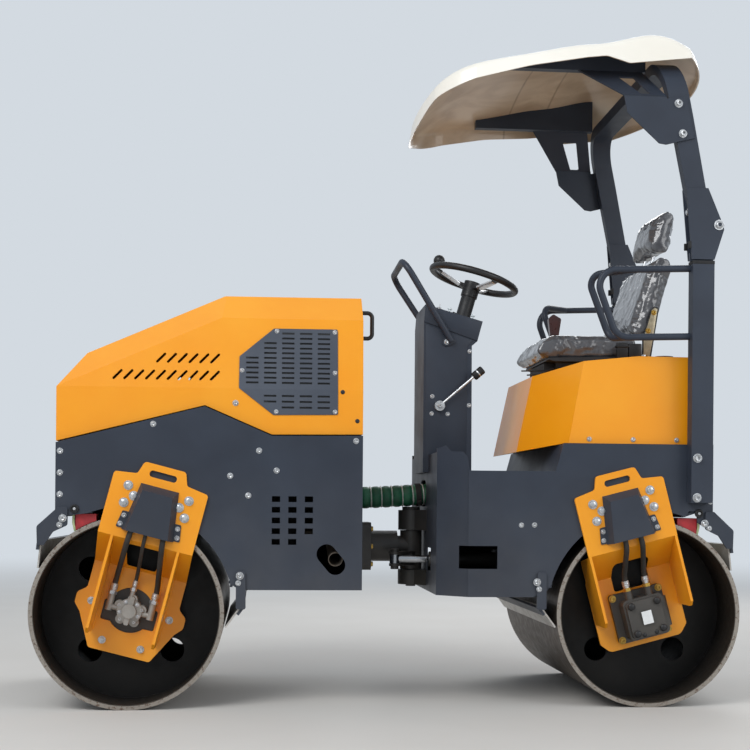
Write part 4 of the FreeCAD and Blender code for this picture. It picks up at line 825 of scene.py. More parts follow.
BOLTS = (
    BoltSet("front_side_screws", "front_frame", Head.BUTTON, 8.5, FRAME_FACE,
            ((-875, 1036), (-1205, 935), (-1205, 857), (-1205, 779), (-597, 851), (-531, 780), (-493, 944),
             (-429, 872), (-139, 983))),
    BoltSet("front_scraper_screws", "front_frame", Head.BUTTON, 11, ARM_FACE, ((-1193, 693), (-559, 488))),
    BoltSet("front_scraper_pins", "front_frame", Head.BUTTON, 8, ARM_FACE, ((-1204, 670), (-565, 462))),
    BoltSet("rear_side_screws", "rear_frame", Head.BUTTON, 7.5, FRAME_FACE, ((478, 679), (527, 680))),
    BoltSet("rear_tail_screws", "rear_frame", Head.BUTTON, 7, FRAME_FACE, ((1197, 967), (1197, 771))),
    BoltSet("rear_scraper_screws", "rear_frame", Head.BUTTON, 11, ARM_FACE, ((537, 468), (1173, 690))),
    BoltSet("rear_scraper_pins", "rear_frame", Head.BUTTON, 8, ARM_FACE, ((545, 442), (1190, 671))),
    BoltSet("post_screws", "rear_frame", Head.SOCKET, 12, POST_FACE, ((1129, 933), (1128, 786))),
    BoltSet("bracket_screws", "fold_hoop", Head.SOCKET, 11, POST_FACE, ((1046, 2247), (1063, 2136))),
    BoltSet("fold_bolt_heads", "rear_frame", Head.BUTTON, 15, POST_FACE, ((1204, 1801),)),
    BoltSet("console_cover_screws", "rear_frame", Head.BUTTON, 6.5, COVER_FACE,
            ((188, 1181), (186, 1113), (250, 1112))),
    BoltSet("console_fold_screws", "rear_frame", Head.BUTTON, 6.5, CONSOLE_FACE, ((336, 1362), (335, 1148))),
    BoltSet("hood_stops", "hood", Head.BUTTON, 8.5, HOOD_FACE, ((-580, 1118),)),
)


def plate_frame(side: int, rear: bool) -> Matrix:
    """Stand of a drum plate: X along the leaning plate, Y away from the centre plane, Z up the plate.

    Args:
        side: the machine's side.
        rear: whether it is a rear plate.

    Returns:
        The stand, whose origin is on the centre plane at the drum's axle.
    """
    lean, axle = (-PLATE_TILT, HALF_BASE) if rear else (PLATE_TILT, -HALF_BASE)
    turn = Matrix.Rotation(math.radians(lean), 4, "Y")
    return at(axle, 0, DRUM_RADIUS) @ turn @ Matrix.Diagonal((1, side, 1, 1))


def spot_on(stand: Matrix, u: float, face: float, v: float) -> Matrix:
    """Move to a point in millimetres of a stand, without the stand's turn."""
    return Matrix.Translation((stand @ at(u, face, v)).to_translation())


@dataclass
class Fasteners:
    """Bright zinc screws of the frames, hood, plates, posts and seat box.

    Attributes:
        plate_bolts: places on each drum plate; these rows are mirrored across the plate's middle.
        rear_foot: how far the rear motors' flange stands out of the plate's foot.
        grille_face: the grilles' outer face below the waist.
        box_screws: places of the seat box's screws along the machine, box_row their height, box_face their
            distance from the centre plane and box_lean the lean of the box's side in degrees.
    """

    shop: Shop
    plate_bolts: tuple[tuple[float, float], ...] = ((112, 450), (84, 418), (112, 386))
    cover_bolts: tuple[tuple[float, float], ...] = ((99, 342), (105, 310))
    front_motor_bolts: tuple[tuple[float, float], ...] = ((148, 0), (73, -131))
    rear_motor_bolts: tuple[tuple[float, float], ...] = ((92, 72), (92, -92))
    rear_foot: float = 22.0
    grille_bolts: tuple[tuple[float, float], ...] = ((-431, 1385), (-218, 1385), (-557, 1238), (-217, 1234),
                                                     (-432, 1088), (-216, 1090))
    grille_face: float = HOOD_FACE + 3.5
    box_screws: tuple[float, ...] = (738, 906, 1073)
    box_row: float = 1003.0
    box_face: float = 479.2
    box_lean: float = 2.0

    def in_plane(self, row: BoltSet) -> None:
        """Makes one table row into a piece.

        Args:
            row: the like bolts.
        """
        bm = bmesh.new()
        for side in (LEFT, RIGHT):
            for x, z in row.places:
                add_head(bm, row.head, row.radius, at(x, side * row.face, z) @ outward(side))
        self.shop.piece(bm, row.name, row.body, ZINC, "bright_zinc")

    def on_plates(self, rear: bool) -> None:
        """Bolts of both drum plates at one end, their covers and their motors.

        Args:
            rear: whether it is the rear end.
        """
        end, body = ("rear", "rear_frame") if rear else ("front", "front_frame")
        foot = self.rear_motor_bolts if rear else self.front_motor_bolts
        foot_face = PLATE_FOOT_FACE + (self.rear_foot if rear else 0)
        plate, motor = bmesh.new(), bmesh.new()
        sets = ((plate, self.plate_bolts, PLATE_FACE, Head.HEX, 12.0),
                (plate, self.cover_bolts, PLATE_FACE + 4, Head.BUTTON, 7.0),
                (motor, foot, foot_face, Head.SOCKET, 10.0))
        for side in (LEFT, RIGHT):
            stand = plate_frame(side, rear)
            for bm, places, face, head, radius in sets:
                for u, v in [(s * u, v) for u, v in places for s in (-1, 1)]:
                    add_head(bm, head, radius, spot_on(stand, u, face, v) @ outward(side))
        self.shop.piece(plate, f"{end}_plate_bolts", body, ZINC, "bright_zinc")
        self.shop.piece(motor, f"{end}_motor_bolts", body, PASSIVATED if rear else ZINC, "bright_zinc")

    def on_grilles(self) -> None:
        """Small screws round each grille, square to the hood's flank above and below the waist."""
        lean = math.radians(HOOD_LEAN)
        bm = bmesh.new()
        for side in (LEFT, RIGHT):
            for x, z in self.grille_bolts:
                above = max(0.0, z - HOOD_WAIST)
                y = self.grille_face - above * math.tan(lean)
                turn = Matrix.Rotation((lean if above else 0) * -side, 4, "X")
                add_head(bm, Head.BUTTON, 6.5, at(x, side * y, z) @ turn @ outward(side))
        self.shop.piece(bm, "grille_screws", "hood", ZINC, "bright_zinc")

    def on_seat_box(self) -> None:
        """Row of screws along the seat box's foot, square to its leaning side."""
        bm = bmesh.new()
        for side in (LEFT, RIGHT):
            turn = Matrix.Rotation(-side * math.radians(self.box_lean), 4, "X")
            for x in self.box_screws:
                add_head(bm, Head.BUTTON, 7, at(x, side * self.box_face, self.box_row) @ turn @ outward(side))
        self.shop.piece(bm, "seat_box_screws", "rear_frame", ZINC, "bright_zinc")

    def build(self) -> None:
        """All fasteners."""
        for row in BOLTS:
            self.in_plane(row)
        self.on_plates(False)
        self.on_plates(True)
        self.on_grilles()
        self.on_seat_box()


# Drive motors


@dataclass(frozen=True)
class Fitting:
    """Where a hose meets its port on the plate's stand: across, away from the centre plane, up."""

    across: float
    face: float
    top: float
    hose_radius: float


@dataclass
class DriveMotors:
    """Hose fittings, cap screws and plugs of the four drive motors.

    Attributes:
        nut: half profile, as shares of the hose's radius against millimetres up the hose; so is ferrule.
        lobe_circle: radius of the screws in the front motors' five lobes, whose cap has four more between.
        corner_plugs: across and up from the axle, at all four pairs; low_plugs lie below on the body.
        label: low and high corner of the blank plate on each rear motor.
    """

    shop: Shop
    front_fittings: tuple[Fitting, ...] = (Fitting(-78, 386, 46, 10), Fitting(-6, 386, 74, 7),
                                           Fitting(78, 386, 46, 10))
    rear_fittings: tuple[Fitting, ...] = (Fitting(-38, 422, 92, 10), Fitting(40, 422, 92, 10))
    nut: tuple[tuple[float, float], ...] = ((0, 0), (1.7, 0), (1.7, 10), (1.5, 13), (0, 13))
    ferrule: tuple[tuple[float, float], ...] = (
        (0, 13), (1.1, 13), (1.1, 17), (1.32, 18), (1.38, 24), (1.32, 25),
        (1.38, 26), (1.38, 32), (1.32, 33), (1.38, 34), (1.34, 40), (0, 40))
    cap_face: float = 402.0
    lobe_face: float = 398.0
    lobe_circle: float = 44.0
    cap_circle: float = 36.0
    plug_face: float = 465.0
    corner_plugs: tuple[tuple[float, float], ...] = ((-48, -70), (-48, 36), (54, -70), (54, 36))
    low_plugs: tuple[tuple[float, float], ...] = ((-22, -80), (26, -80))
    label: tuple[tuple[float, float], ...] = ((-17, -42), (22, 8))

    def fittings(self, rear: bool) -> None:
        """Swivel nuts and crimped ferrules at one end of the machine.

        Args:
            rear: whether it is the rear end.
        """
        end, rows = ("rear", self.rear_fittings) if rear else ("front", self.front_fittings)
        nuts, ferrules = bmesh.new(), bmesh.new()
        for side in (LEFT, RIGHT):
            for row in rows:
                stand = plate_frame(side, rear) @ at(row.across, row.face, row.top)
                for bm, profile, steps in ((nuts, self.nut, 6), (ferrules, self.ferrule, 20)):
                    form = turned([(reach * row.hose_radius, height) for reach, height in profile], steps)
                    put(bm, form, stand)
        finish = PASSIVATED if rear else ZINC
        self.shop.piece(nuts, f"{end}_hose_nuts", f"{end}_frame", finish, "bright_zinc")
        self.shop.piece(ferrules, f"{end}_hose_ferrules", f"{end}_frame", ZINC, "bright_zinc")

    def front_caps(self) -> None:
        """Screws of the front motors' lobes and caps."""
        bm = bmesh.new()
        for side in (LEFT, RIGHT):
            stand = plate_frame(side, False)
            for turn in range(18, 378, 72):
                for angle, circle, face, head in (
                        (turn, self.lobe_circle, self.lobe_face, Head.SOCKET),
                        (turn + 36, self.cap_circle, self.cap_face, Head.HEX)):
                    # The cap has no screw at its lowest place
                    if angle == 270:
                        continue
                    u, v = circle * math.cos(math.radians(angle)), circle * math.sin(math.radians(angle))
                    add_head(bm, head, 5, spot_on(stand, u, face, v) @ outward(side))
        self.shop.piece(bm, "front_motor_screws", "front_frame", ZINC, "bright_zinc")

    def rear_plugs(self) -> None:
        """Domed black plugs at the rear motors' corners and two small ones below."""
        dome = [(14 * math.cos(math.radians(a)), 7 * math.sin(math.radians(a))) for a in range(0, 91, 15)]
        turn = Matrix.Rotation(math.radians(-90), 4, "X")
        bm = bmesh.new()
        for side in (LEFT, RIGHT):
            for places, face, size in ((self.corner_plugs, self.plug_face, 1.0),
                                       (self.low_plugs, self.plug_face - 7, 0.6)):
                for u, v in places:
                    form = turned([(reach * size, height * size) for reach, height in dome] + [(0, 0)])
                    put(bm, form, plate_frame(side, True) @ at(u, face, v) @ turn)
        self.shop.piece(bm, "rear_motor_plugs", "rear_frame", PLASTIC, "grip_plastic", 60)

    def rear_plates(self) -> None:
        """Blank pale plate on each rear motor."""
        (left, low), (right, top) = self.label
        bm = bmesh.new()
        for side in (LEFT, RIGHT):
            put(bm, block((left, self.plug_face - 1, low), (right, self.plug_face + 0.6, top)),
                plate_frame(side, True))
        self.shop.piece(bm, "rear_motor_plates", "rear_frame", BLANK_FILM, "grip_plastic")

    def build(self) -> None:
        """Details of all four motors."""
        self.fittings(False)
        self.fittings(True)
        self.front_caps()
        self.rear_plugs()
        self.rear_plates()


# Centre joint


@dataclass
class CentreJoint:
    """Wire turns and clamp of the air hose, bolts of the joint's housing, ports of the steering cylinder."""

    shop: Shop
    line: tuple[tuple[float, float], ...] = ((-126.0, 776.0), (125.0, 790.0), (214.0, 797.0))
    turns: int = 8
    valley: float = 41.0
    wire_radius: float = 2.9
    clamp_x: float = 152.0

    def on_line(self, x: float) -> tuple[float, float]:
        """Follows the hose's line.

        Args:
            x: distance along the machine.

        Returns:
            The line's height there, and its slope.
        """
        (x0, z0), (x1, z1), (x2, z2) = self.line
        low, high = ((x0, z0), (x1, z1)) if x < x1 else ((x1, z1), (x2, z2))
        slope = (high[1] - low[1]) / (high[0] - low[0])
        return low[1] + slope * (x - low[0]), slope

    def wire_turns(self) -> None:
        """Bright wire rings in the valleys of the hose."""
        start, end = self.line[0][0], self.line[-1][0]
        bm = bmesh.new()
        for i in range(1, self.turns):
            x = start + (end - start) * i / self.turns
            z, slope = self.on_line(x)
            section = [(self.valley + self.wire_radius * math.cos(math.tau * k / 8),
                        self.wire_radius * math.sin(math.tau * k / 8)) for k in range(8)]
            form = turned(section, 40, ring=True)
            put(bm, form, at(x, 0, z) @ along((1, 0, slope)))
        self.shop.piece(bm, "air_hose_wire", "joint_link", GALVANISED, "bright_zinc", 60)

    def clamp(self) -> None:
        """Worm-drive clamp with a rubber band near the hose's rear end."""
        z, slope = self.on_line(self.clamp_x)
        stand = at(self.clamp_x, 0, z) @ along((1, 0, slope))
        band = bmesh.new()
        section = ((44.6, -11), (46.4, -11), (46.4, 11), (44.6, 11))
        put(band, turned(section, 48, ring=True), stand)
        put(band, block((-9, -60, -8), (9, -46.4, 8), 1.5), stand @ Matrix.Rotation(math.radians(35), 4, "Z"))
        self.shop.piece(band, "air_hose_clamp", "joint_link", RUBBER, "hose_rubber")
        bm = bmesh.new()
        put(bm, turned(((0, 0), (5, 0), (5, 5), (3, 6), (0, 4)), 6),
            stand @ Matrix.Rotation(math.radians(35), 4, "Z") @ at(9, -53, 0) @ along((1, 0, 0)))
        self.shop.piece(bm, "air_hose_clamp_screw", "joint_link", ZINC, "bright_zinc")

    def housing_bolts(self) -> None:
        """Bolts that hold the joint's housing on the front frame."""
        bm = bmesh.new()
        for y in (-84, 84):
            for z in (514, 584, 654):
                add_head(bm, Head.HEX, 10, at(-46, y, z) @ along((1, 0, 0)))
        self.shop.piece(bm, "joint_housing_bolts", "front_frame", PASSIVATED, "bright_zinc")

    def cylinder_ports(self) -> None:
        """Port bosses on top of the steering cylinder."""
        boss = ((0, 0), (13, 0), (13, 7), (9.5, 8), (9.5, 13), (0, 13))
        bm = bmesh.new()
        for x in (222, 438):
            put(bm, turned(boss, 6), at(x, -165, 565))
        self.shop.piece(bm, "cylinder_ports", "cylinder_barrel", ZINC, "bright_zinc")

    def build(self) -> None:
        """All details of the joint."""
        self.wire_turns()
        self.clamp()
        self.housing_bolts()
        self.cylinder_ports()


# Drum wipers


@dataclass
class DrumWipers:
    """Urethane pad and felt mat that hang under the frame's outer end and wipe each drum."""

    shop: Shop
    half: float = 486.0
    gap: float = 2.0
    pad_span: tuple[float, float] = (112.0, 186.0)
    pad_top: float = 709.0
    mat: tuple[tuple[float, float], ...] = ((189, 709), (197, 709), (198, 676), (191, 646), (184, 648),
                                            (190, 676))

    def rim(self, reach: float) -> float:
        """Follows the drum's upper side.

        Args:
            reach: distance outwards from the drum's axle.

        Returns:
            The height just above the drum there.
        """
        return DRUM_RADIUS + math.sqrt((DRUM_RADIUS + self.gap) ** 2 - reach ** 2)

    def at_end(self, name: str, out: int) -> None:
        """Pad, mat and spray bar caps at one end of the machine.

        Args:
            name: the end, as in the pieces' and the body's names.
            out: the way outwards along the machine, -1 or 1.
        """
        axle = out * HALF_BASE
        near, far = self.pad_span
        steps = [near + (far - near) * i / 6 for i in range(7)]
        corners = [(axle + out * reach, self.rim(reach)) for reach in steps]
        corners += [(axle + out * far, self.pad_top), (axle + out * near, self.pad_top)]
        self.shop.piece(prism(corners, -self.half, self.half), f"{name}_wiper_pad", f"{name}_frame", RED_PAD,
                        "hose_rubber")
        mat = [(axle + out * reach, z) for reach, z in self.mat]
        self.shop.piece(prism(mat, -self.half, self.half), f"{name}_wiper_mat", f"{name}_frame", FELT,
                        "hose_rubber")
        bm, screws = bmesh.new(), bmesh.new()
        ring = ((0, 0), (15, 0), (16, 1.5), (16, 7), (14, 9), (11, 9), (10, 5), (0, 5))
        for side in (LEFT, RIGHT):
            stand = at(axle + out * 187, side * FRAME_FACE, 727) @ outward(side)
            put(bm, turned(ring), stand)
            put(screws, turned(((0, 5), (6, 5), (6, 9), (5, 10), (0, 10)), 6), stand)
        self.shop.piece(bm, f"{name}_spray_bar_caps", f"{name}_frame", PLASTIC, "grip_plastic")
        self.shop.piece(screws, f"{name}_spray_bar_screws", f"{name}_frame", ZINC, "bright_zinc")

    def build(self) -> None:
        """Both ends of the machine."""
        self.at_end("front", -1)
        self.at_end("rear", 1)


# Console


@dataclass
class Console:
    """Side covers, instruments on the sloping top, lugs of the grab handle, grip of the drive lever."""

    shop: Shop
    half: float = CONSOLE_FACE
    front: tuple[float, float] = (158.0, 1545.0)
    rear: tuple[float, float] = (388.0, 1482.0)
    wheel_centre: tuple[float, float, float] = (375.0, 0.0, 1672.0)
    wheel_tilt: float = 16.0
    spoke_span: tuple[float, float] = (20.0, 168.0)
    spoke_drop: float = 48.0

    def top(self) -> Matrix:
        """Stand on the sloping top: X down the slope, Y across, Z out of the surface; metres."""
        run, fall = self.rear[0] - self.front[0], self.rear[1] - self.front[1]
        return at(self.front[0], 0, self.front[1]) @ Matrix.Rotation(math.atan2(-fall, run), 4, "Y")

    def covers(self) -> None:
        """Thin sheet covers on both flanks, short of the rear fold, and the cheeks of the head above them."""
        outline = ((160, 892), (325, 892), (325, 1380), (348, 1404), (160, 1466))
        cheek = ((153.5, 1476), (158.5, 1544), (387, 1481.5), (366.5, 1404))
        bm, cheeks = bmesh.new(), bmesh.new()
        put_both(bm, prism(outline, -self.half - 1.6, -self.half + 0.2, 0.5))
        put_both(cheeks, prism(cheek, -self.half - 4.5, -self.half + 0.2, 0.8))
        self.shop.piece(bm, "console_covers", "rear_frame", SLATE, "slate_paint")
        self.shop.piece(cheeks, "console_cheeks", "rear_frame", SLATE, "slate_paint")

    def dials(self) -> None:
        """Two round gauges with bezels, their glass and plain ticks."""
        bezel = ((0, 0), (31, 0), (31, 5), (28, 8), (25, 6), (25, 4), (0, 4))
        rims, glass, ticks = bmesh.new(), bmesh.new(), bmesh.new()
        for y in (-52, 52):
            stand = self.top() @ at(62, y, 0)
            put(rims, turned(bezel, 32), stand)
            put(glass, turned(((0, 3.9), (25, 3.9), (24, 5.4), (0, 6)), 32), stand)
            for i in range(9):
                turn = Matrix.Rotation(math.radians(-120 + 30 * i), 4, "Z")
                put(ticks, block((-22, -0.8, 5.6), (-16, 0.8, 6.2)), stand @ turn)
            hand = Matrix.Rotation(math.radians(-75), 4, "Z")
            put(ticks, block((-15, -0.9, 6.0), (4, 0.9, 6.6)), stand @ hand)
        self.shop.piece(rims, "gauge_bezels", "rear_frame", PLASTIC, "grip_plastic")
        self.shop.piece(glass, "gauge_faces", "rear_frame", PLASTIC, "grip_plastic")
        self.shop.piece(ticks, "gauge_marks", "rear_frame", LENS["clear"], "grip_plastic")

    def switches(self) -> None:
        """Rocker switches, key switch and a row of warning lamps."""
        rockers = bmesh.new()
        for y in (-118, -92, 92, 118):
            put(rockers, block((112, y - 10, 0), (148, y + 10, 3), 1), self.top())
            put(rockers, block((115, y - 7.5, 2), (145, y + 7.5, 7), 1.5),
                self.top() @ at(130, 0, 0) @ Matrix.Rotation(math.radians(8), 4, "Y") @ at(-130, 0, 0))
        self.shop.piece(rockers, "rocker_switches", "rear_frame", PLASTIC, "grip_plastic")
        key = bmesh.new()
        stand = self.top() @ at(60, -118, 0)
        put(key, turned(((0, 0), (13, 0), (13, 5), (9, 9), (0, 9)), 24), stand)
        put(key, block((-1.2, -8, 8), (1.2, 8, 26), 1), stand)
        self.shop.piece(key, "key_switch", "rear_frame", ZINC, "bright_zinc")
        lamp = [(6 * math.cos(math.radians(a)), 1 + 4 * math.sin(math.radians(a))) for a in range(0, 91, 18)]
        for i, name in enumerate(("green", "amber", "red", "clear")):
            bm = bmesh.new()
            put(bm, turned([(0, 0), (6, 0), *lamp], 16), self.top() @ at(22, -36 + 24 * i, 0))
            self.shop.piece(bm, f"warning_lamp_{name}", "rear_frame", LENS[name], "grip_plastic", 60)

    def knobs(self) -> None:
        """Two clear-topped pull knobs at the top's near edge."""
        bm = bmesh.new()
        for x, y in ((100, -134), (196, -134)):
            profile = ((0, 0), (7, 0), (7, 3), (4, 4), (4, 9), (9, 11), (9, 15), (7, 17), (0, 17))
            put(bm, turned(profile, 20), self.top() @ at(x, y, 0))
        self.shop.piece(bm, "pull_knobs", "rear_frame", LENS["clear"], "grip_plastic", 50)

    def handle_lugs(self) -> None:
        """Plates welded under the grab handle's feet, each with its bolt."""
        bm, bolts = bmesh.new(), bmesh.new()
        corners = ((226, 1388), (236, 1380), (262, 1384), (280, 1396), (276, 1412), (258, 1416), (232, 1410))
        for side in (LEFT, RIGHT):
            put(bm, prism(corners, -self.half - 7, -self.half - 1.6, 1.0), flipped(side))
            add_head(bolts, Head.BUTTON, 8, at(243, side * (self.half + 7), 1397) @ outward(side))
        self.shop.piece(bm, "handle_lugs", "rear_frame", SLATE, "slate_paint")
        self.shop.piece(bolts, "handle_bolts", "rear_frame", ZINC, "bright_zinc")

    def lever(self) -> None:
        """Slotted rubber grip over the lever's ball and the hub's cap screw."""
        foot, tip = Vector((216, -164, 1143)), Vector((366, -181, 1273))
        stand = at(*tip) @ along(tuple(tip - foot))
        grip = ((0, -24), (14, -24), (17, -20), (17, -3), (15.5, -2), (15.5, 2), (17, 3), (17, 20), (14, 24),
                (0, 24))
        bm = bmesh.new()
        put(bm, turned(grip, 24), stand)
        self.shop.piece(bm, "lever_grip", "rear_frame", RUBBER, "hose_rubber", 45)
        cap = bmesh.new()
        put(cap, turned(((0, 0), (20, 0), (20.5, 1), (20, 3), (0, 3)), 32),
            at(216, -170, 1143) @ outward(LEFT))
        add_head(cap, Head.SOCKET, 7, at(216, -173, 1143) @ outward(LEFT))
        self.shop.piece(cap, "lever_hub_cap", "rear_frame", ZINC, "bright_zinc")

    def spokes(self) -> None:
        """Bright sleeves round the steering wheel's three spokes, short of the hub and the rim."""
        lean = Matrix.Rotation(math.radians(self.wheel_tilt), 4, "Y")
        rise = self.spoke_drop / (self.spoke_span[1] - self.spoke_span[0])
        bm = bmesh.new()
        for turn in (60, 180, 300):
            stand = at(*self.wheel_centre) @ lean @ Matrix.Rotation(math.radians(turn), 4, "Z")
            bar = block((52, -17.3, -1.2), (134, 17.3, 8.2), 1.2)
            for vert in bar.verts:
                vert.co.z += (vert.co.x / MM - self.spoke_span[0]) * rise * MM - self.spoke_drop * MM
                vert.co.y *= 1.0 - 0.225 * (vert.co.x / MM - 52) / 82
            put(bm, bar, stand)
        self.shop.piece(bm, "spoke_sleeves", "steering_wheel", POLISHED, "bright_zinc")

    def build(self) -> None:
        """All of the console's details."""
        self.spokes()
        self.covers()
        self.dials()
        self.switches()
        self.knobs()
        self.handle_lugs()
        self.lever()


# Posts, hood and seat fittings


@dataclass
class PostTrim:
    """Rubber buffers and dark bands of painted shade where the hoop folds, and the bolts on the front of its
    legs.
    """

    shop: Shop
    hoop_lean: float = 11.5

    def buffers(self) -> None:
        """Rubber buffers on the front edges of the hoop's cheeks."""
        bm = bmesh.new()
        for y in (-557, -512):
            put_both(bm, block((1087, y, 1712), (1099, y + 9, 1738), 1.5))
        self.shop.piece(bm, "hoop_buffers", "fold_hoop", RUBBER, "hose_rubber")

    def shade_bands(self) -> None:
        """Black band round the top of each lower post, painted shade of the gap where the hoop folds."""
        bm = bmesh.new()
        # Black band: painted shade of the gap where the hoop folds
        put_both(bm, block((1105.2, -555.8, 1655), (1188.8, -504.2, 1667.5), 0.4))
        self.shop.piece(bm, "post_shade_bands", "rear_frame", RUBBER, "hose_rubber")

    def leg_bolts(self) -> None:
        """A hexagon bolt on the front of each leg, square to it."""
        lean = math.radians(self.hoop_lean)
        bm = bmesh.new()
        for side in (LEFT, RIGHT):
            z = 1850
            x = 1106 - (z - 1801) * math.tan(lean)
            add_head(bm, Head.HEX, 11, at(x, side * 530, z) @ along((-math.cos(lean), 0, -math.sin(lean))))
        self.shop.piece(bm, "leg_bolts", "fold_hoop", ZINC, "bright_zinc")

    def build(self) -> None:
        """Trim of both posts."""
        self.buffers()
        self.shade_bands()
        self.leg_bolts()


@dataclass
class HoodTrim:
    """Black plugs in the hood's flank, and black sheets behind its grilles that paint the shade of the engine
    bay.
    """

    shop: Shop
    inner_face: float = HOOD_FACE - 3
    # Outlines of the black sheets and strips of painted shade behind the grilles
    shade_sheet_above: tuple[tuple[float, float], ...] = ((-556, HOOD_WAIST), (-556, 1286), (-438, 1384),
                                                     (-217, 1384), (-217, HOOD_WAIST))
    shade_sheet_below: tuple[tuple[float, float], ...] = ((-556, HOOD_WAIST), (-217, HOOD_WAIST), (-217, 1090),
                                                     (-436, 1090))
    shade_strip_face: float = HOOD_FACE + 0.4
    shade_strips: tuple[tuple[float, float, float, float], ...] = (
        (-436, 1372, -217, 1384), (-482, 1334, -468, 1347),
        (-547, 1280, -530, 1292), (-482, 1117, -462, 1133))

    def shade_sheets(self) -> None:
        """Black sheet inside each flank and black strips under the grille, folded at the waist: painted shade
        seen through the slots.
        """
        pivot = at(0, -self.inner_face, HOOD_WAIST)
        fold = pivot @ Matrix.Rotation(math.radians(-HOOD_LEAN), 4, "X") @ pivot.inverted()
        bm = bmesh.new()
        for side in (LEFT, RIGHT):
            for outline, stand in ((self.shade_sheet_below, Matrix.Identity(4)), (self.shade_sheet_above, fold)):
                put(bm, prism(outline, -self.inner_face, 1.5 - self.inner_face), flipped(side) @ stand)
            for near, low, far, high in self.shade_strips:
                strip = block((near, -self.shade_strip_face, low), (far, 0.8 - self.shade_strip_face, high))
                put(bm, strip, flipped(side) @ fold if low > HOOD_WAIST else flipped(side))
        # Black sheets and strips: painted shade behind the grille's slots
        self.shop.piece(bm, "grille_shade_sheets", "hood", BLACK, "black_paint")

    def build(self) -> None:
        """Plugs, and sheets of painted shade, on both flanks."""
        self.shade_sheets()
        profile = ((0, 0), (8, 0), (8, 1.5), (6, 2.5), (0, 2.5))
        bm = bmesh.new()
        for side in (LEFT, RIGHT):
            for x, z in ((-188, 1164), (-133, 1058)):
                put(bm, turned(profile), at(x, side * 478, z) @ outward(side))
        self.shop.piece(bm, "hood_plugs", "hood", PLASTIC, "grip_plastic")


@dataclass
class SeatFittings:
    """Bellows, adjuster rods, recliner covers and belt retractor of the seat."""

    shop: Shop
    plate_y: float = 236.3
    rod_lines: tuple[tuple[tuple[float, float, float], ...], ...] = (
        ((545, -150, 1288), (600, -150, 1289), (655, -150, 1291), (675, -152, 1302), (700, -155, 1311)),
        ((566, -158, 1271), (600, -158, 1273), (622, -158, 1276), (660, -158, 1298), (700, -158, 1306)))

    def bellows(self) -> None:
        """Pleated skirt between the seat's pan and the box."""
        bm = bmesh.new()
        pleats = 3
        for i in range(pleats):
            low, high = i / pleats, (i + 1) / pleats
            corners = []
            for x, floor in ((640, 1280), (720, 1297.5), (929, 1319), (998, 1318.5)):
                corners.append((x, floor + (1323 - floor) * low))
            for x, floor in ((998, 1318.5), (929, 1319), (720, 1297.5), (640, 1280)):
                corners.append((x, floor + (1323 - floor) * high - 0.4))
            put(bm, prism(corners, -136 + 2 * i, 136 - 2 * i))
        self.shop.piece(bm, "seat_bellows", "rear_frame", RUBBER, "hose_rubber")

    def rods(self) -> None:
        """Release rods that reach out under the cushion's front."""
        bm = bmesh.new()
        for line in self.rod_lines:
            put(bm, wire(line, 3))
        self.shop.piece(bm, "seat_release_rods", "rear_frame", BLACK, "black_paint", 60)

    def recliners(self) -> None:
        """Plated covers of the recliner's arms, with two screws each."""
        corners = ((1016, 1352), (1040, 1344), (1054, 1420), (1071, 1532), (1060, 1538), (1050, 1530),
                   (1016, 1418))
        bm, screws = bmesh.new(), bmesh.new()
        for side in (LEFT, RIGHT):
            put(bm, prism(corners, -self.plate_y - 1.5, -self.plate_y, 0.4), flipped(side))
            for x, z in ((1056, 1518), (1034, 1446)):
                add_head(screws, Head.BUTTON, 8, at(x, side * (self.plate_y + 1.5), z) @ outward(side))
        self.shop.piece(bm, "recliner_covers", "rear_frame", FADED_PLATE, "bright_zinc")
        self.shop.piece(screws, "recliner_screws", "rear_frame", PASSIVATED, "bright_zinc")

    def retractor(self) -> None:
        """Belt retractor beside the cushion's rear, and its tongue."""
        bm = bmesh.new()
        put(bm, block((950, -262, 1328), (1002, -237, 1392), 4))
        put(bm, block((904, -259, 1330), (948, -239, 1396), 3))
        put(bm, block((900, -262, 1376), (952, -236, 1384), 1.5))
        self.shop.piece(bm, "belt_retractor", "rear_frame", PLASTIC, "grip_plastic")
        tab = prism(((996, 1332), (1024, 1336), (1024, 1352), (996, 1350)), -240, -237.6, 0.4)
        self.shop.piece(tab, "belt_retractor_tab", "rear_frame", ZINC, "bright_zinc")

    def build(self) -> None:
        """All fittings of the seat."""
        self.bellows()
        self.rods()
        self.recliners()
        self.retractor()


# Seat


@dataclass(frozen=True)
class Pad:
    """One stuffed part of the seat."""

    node: str
    puff: float
    cap_mm: float


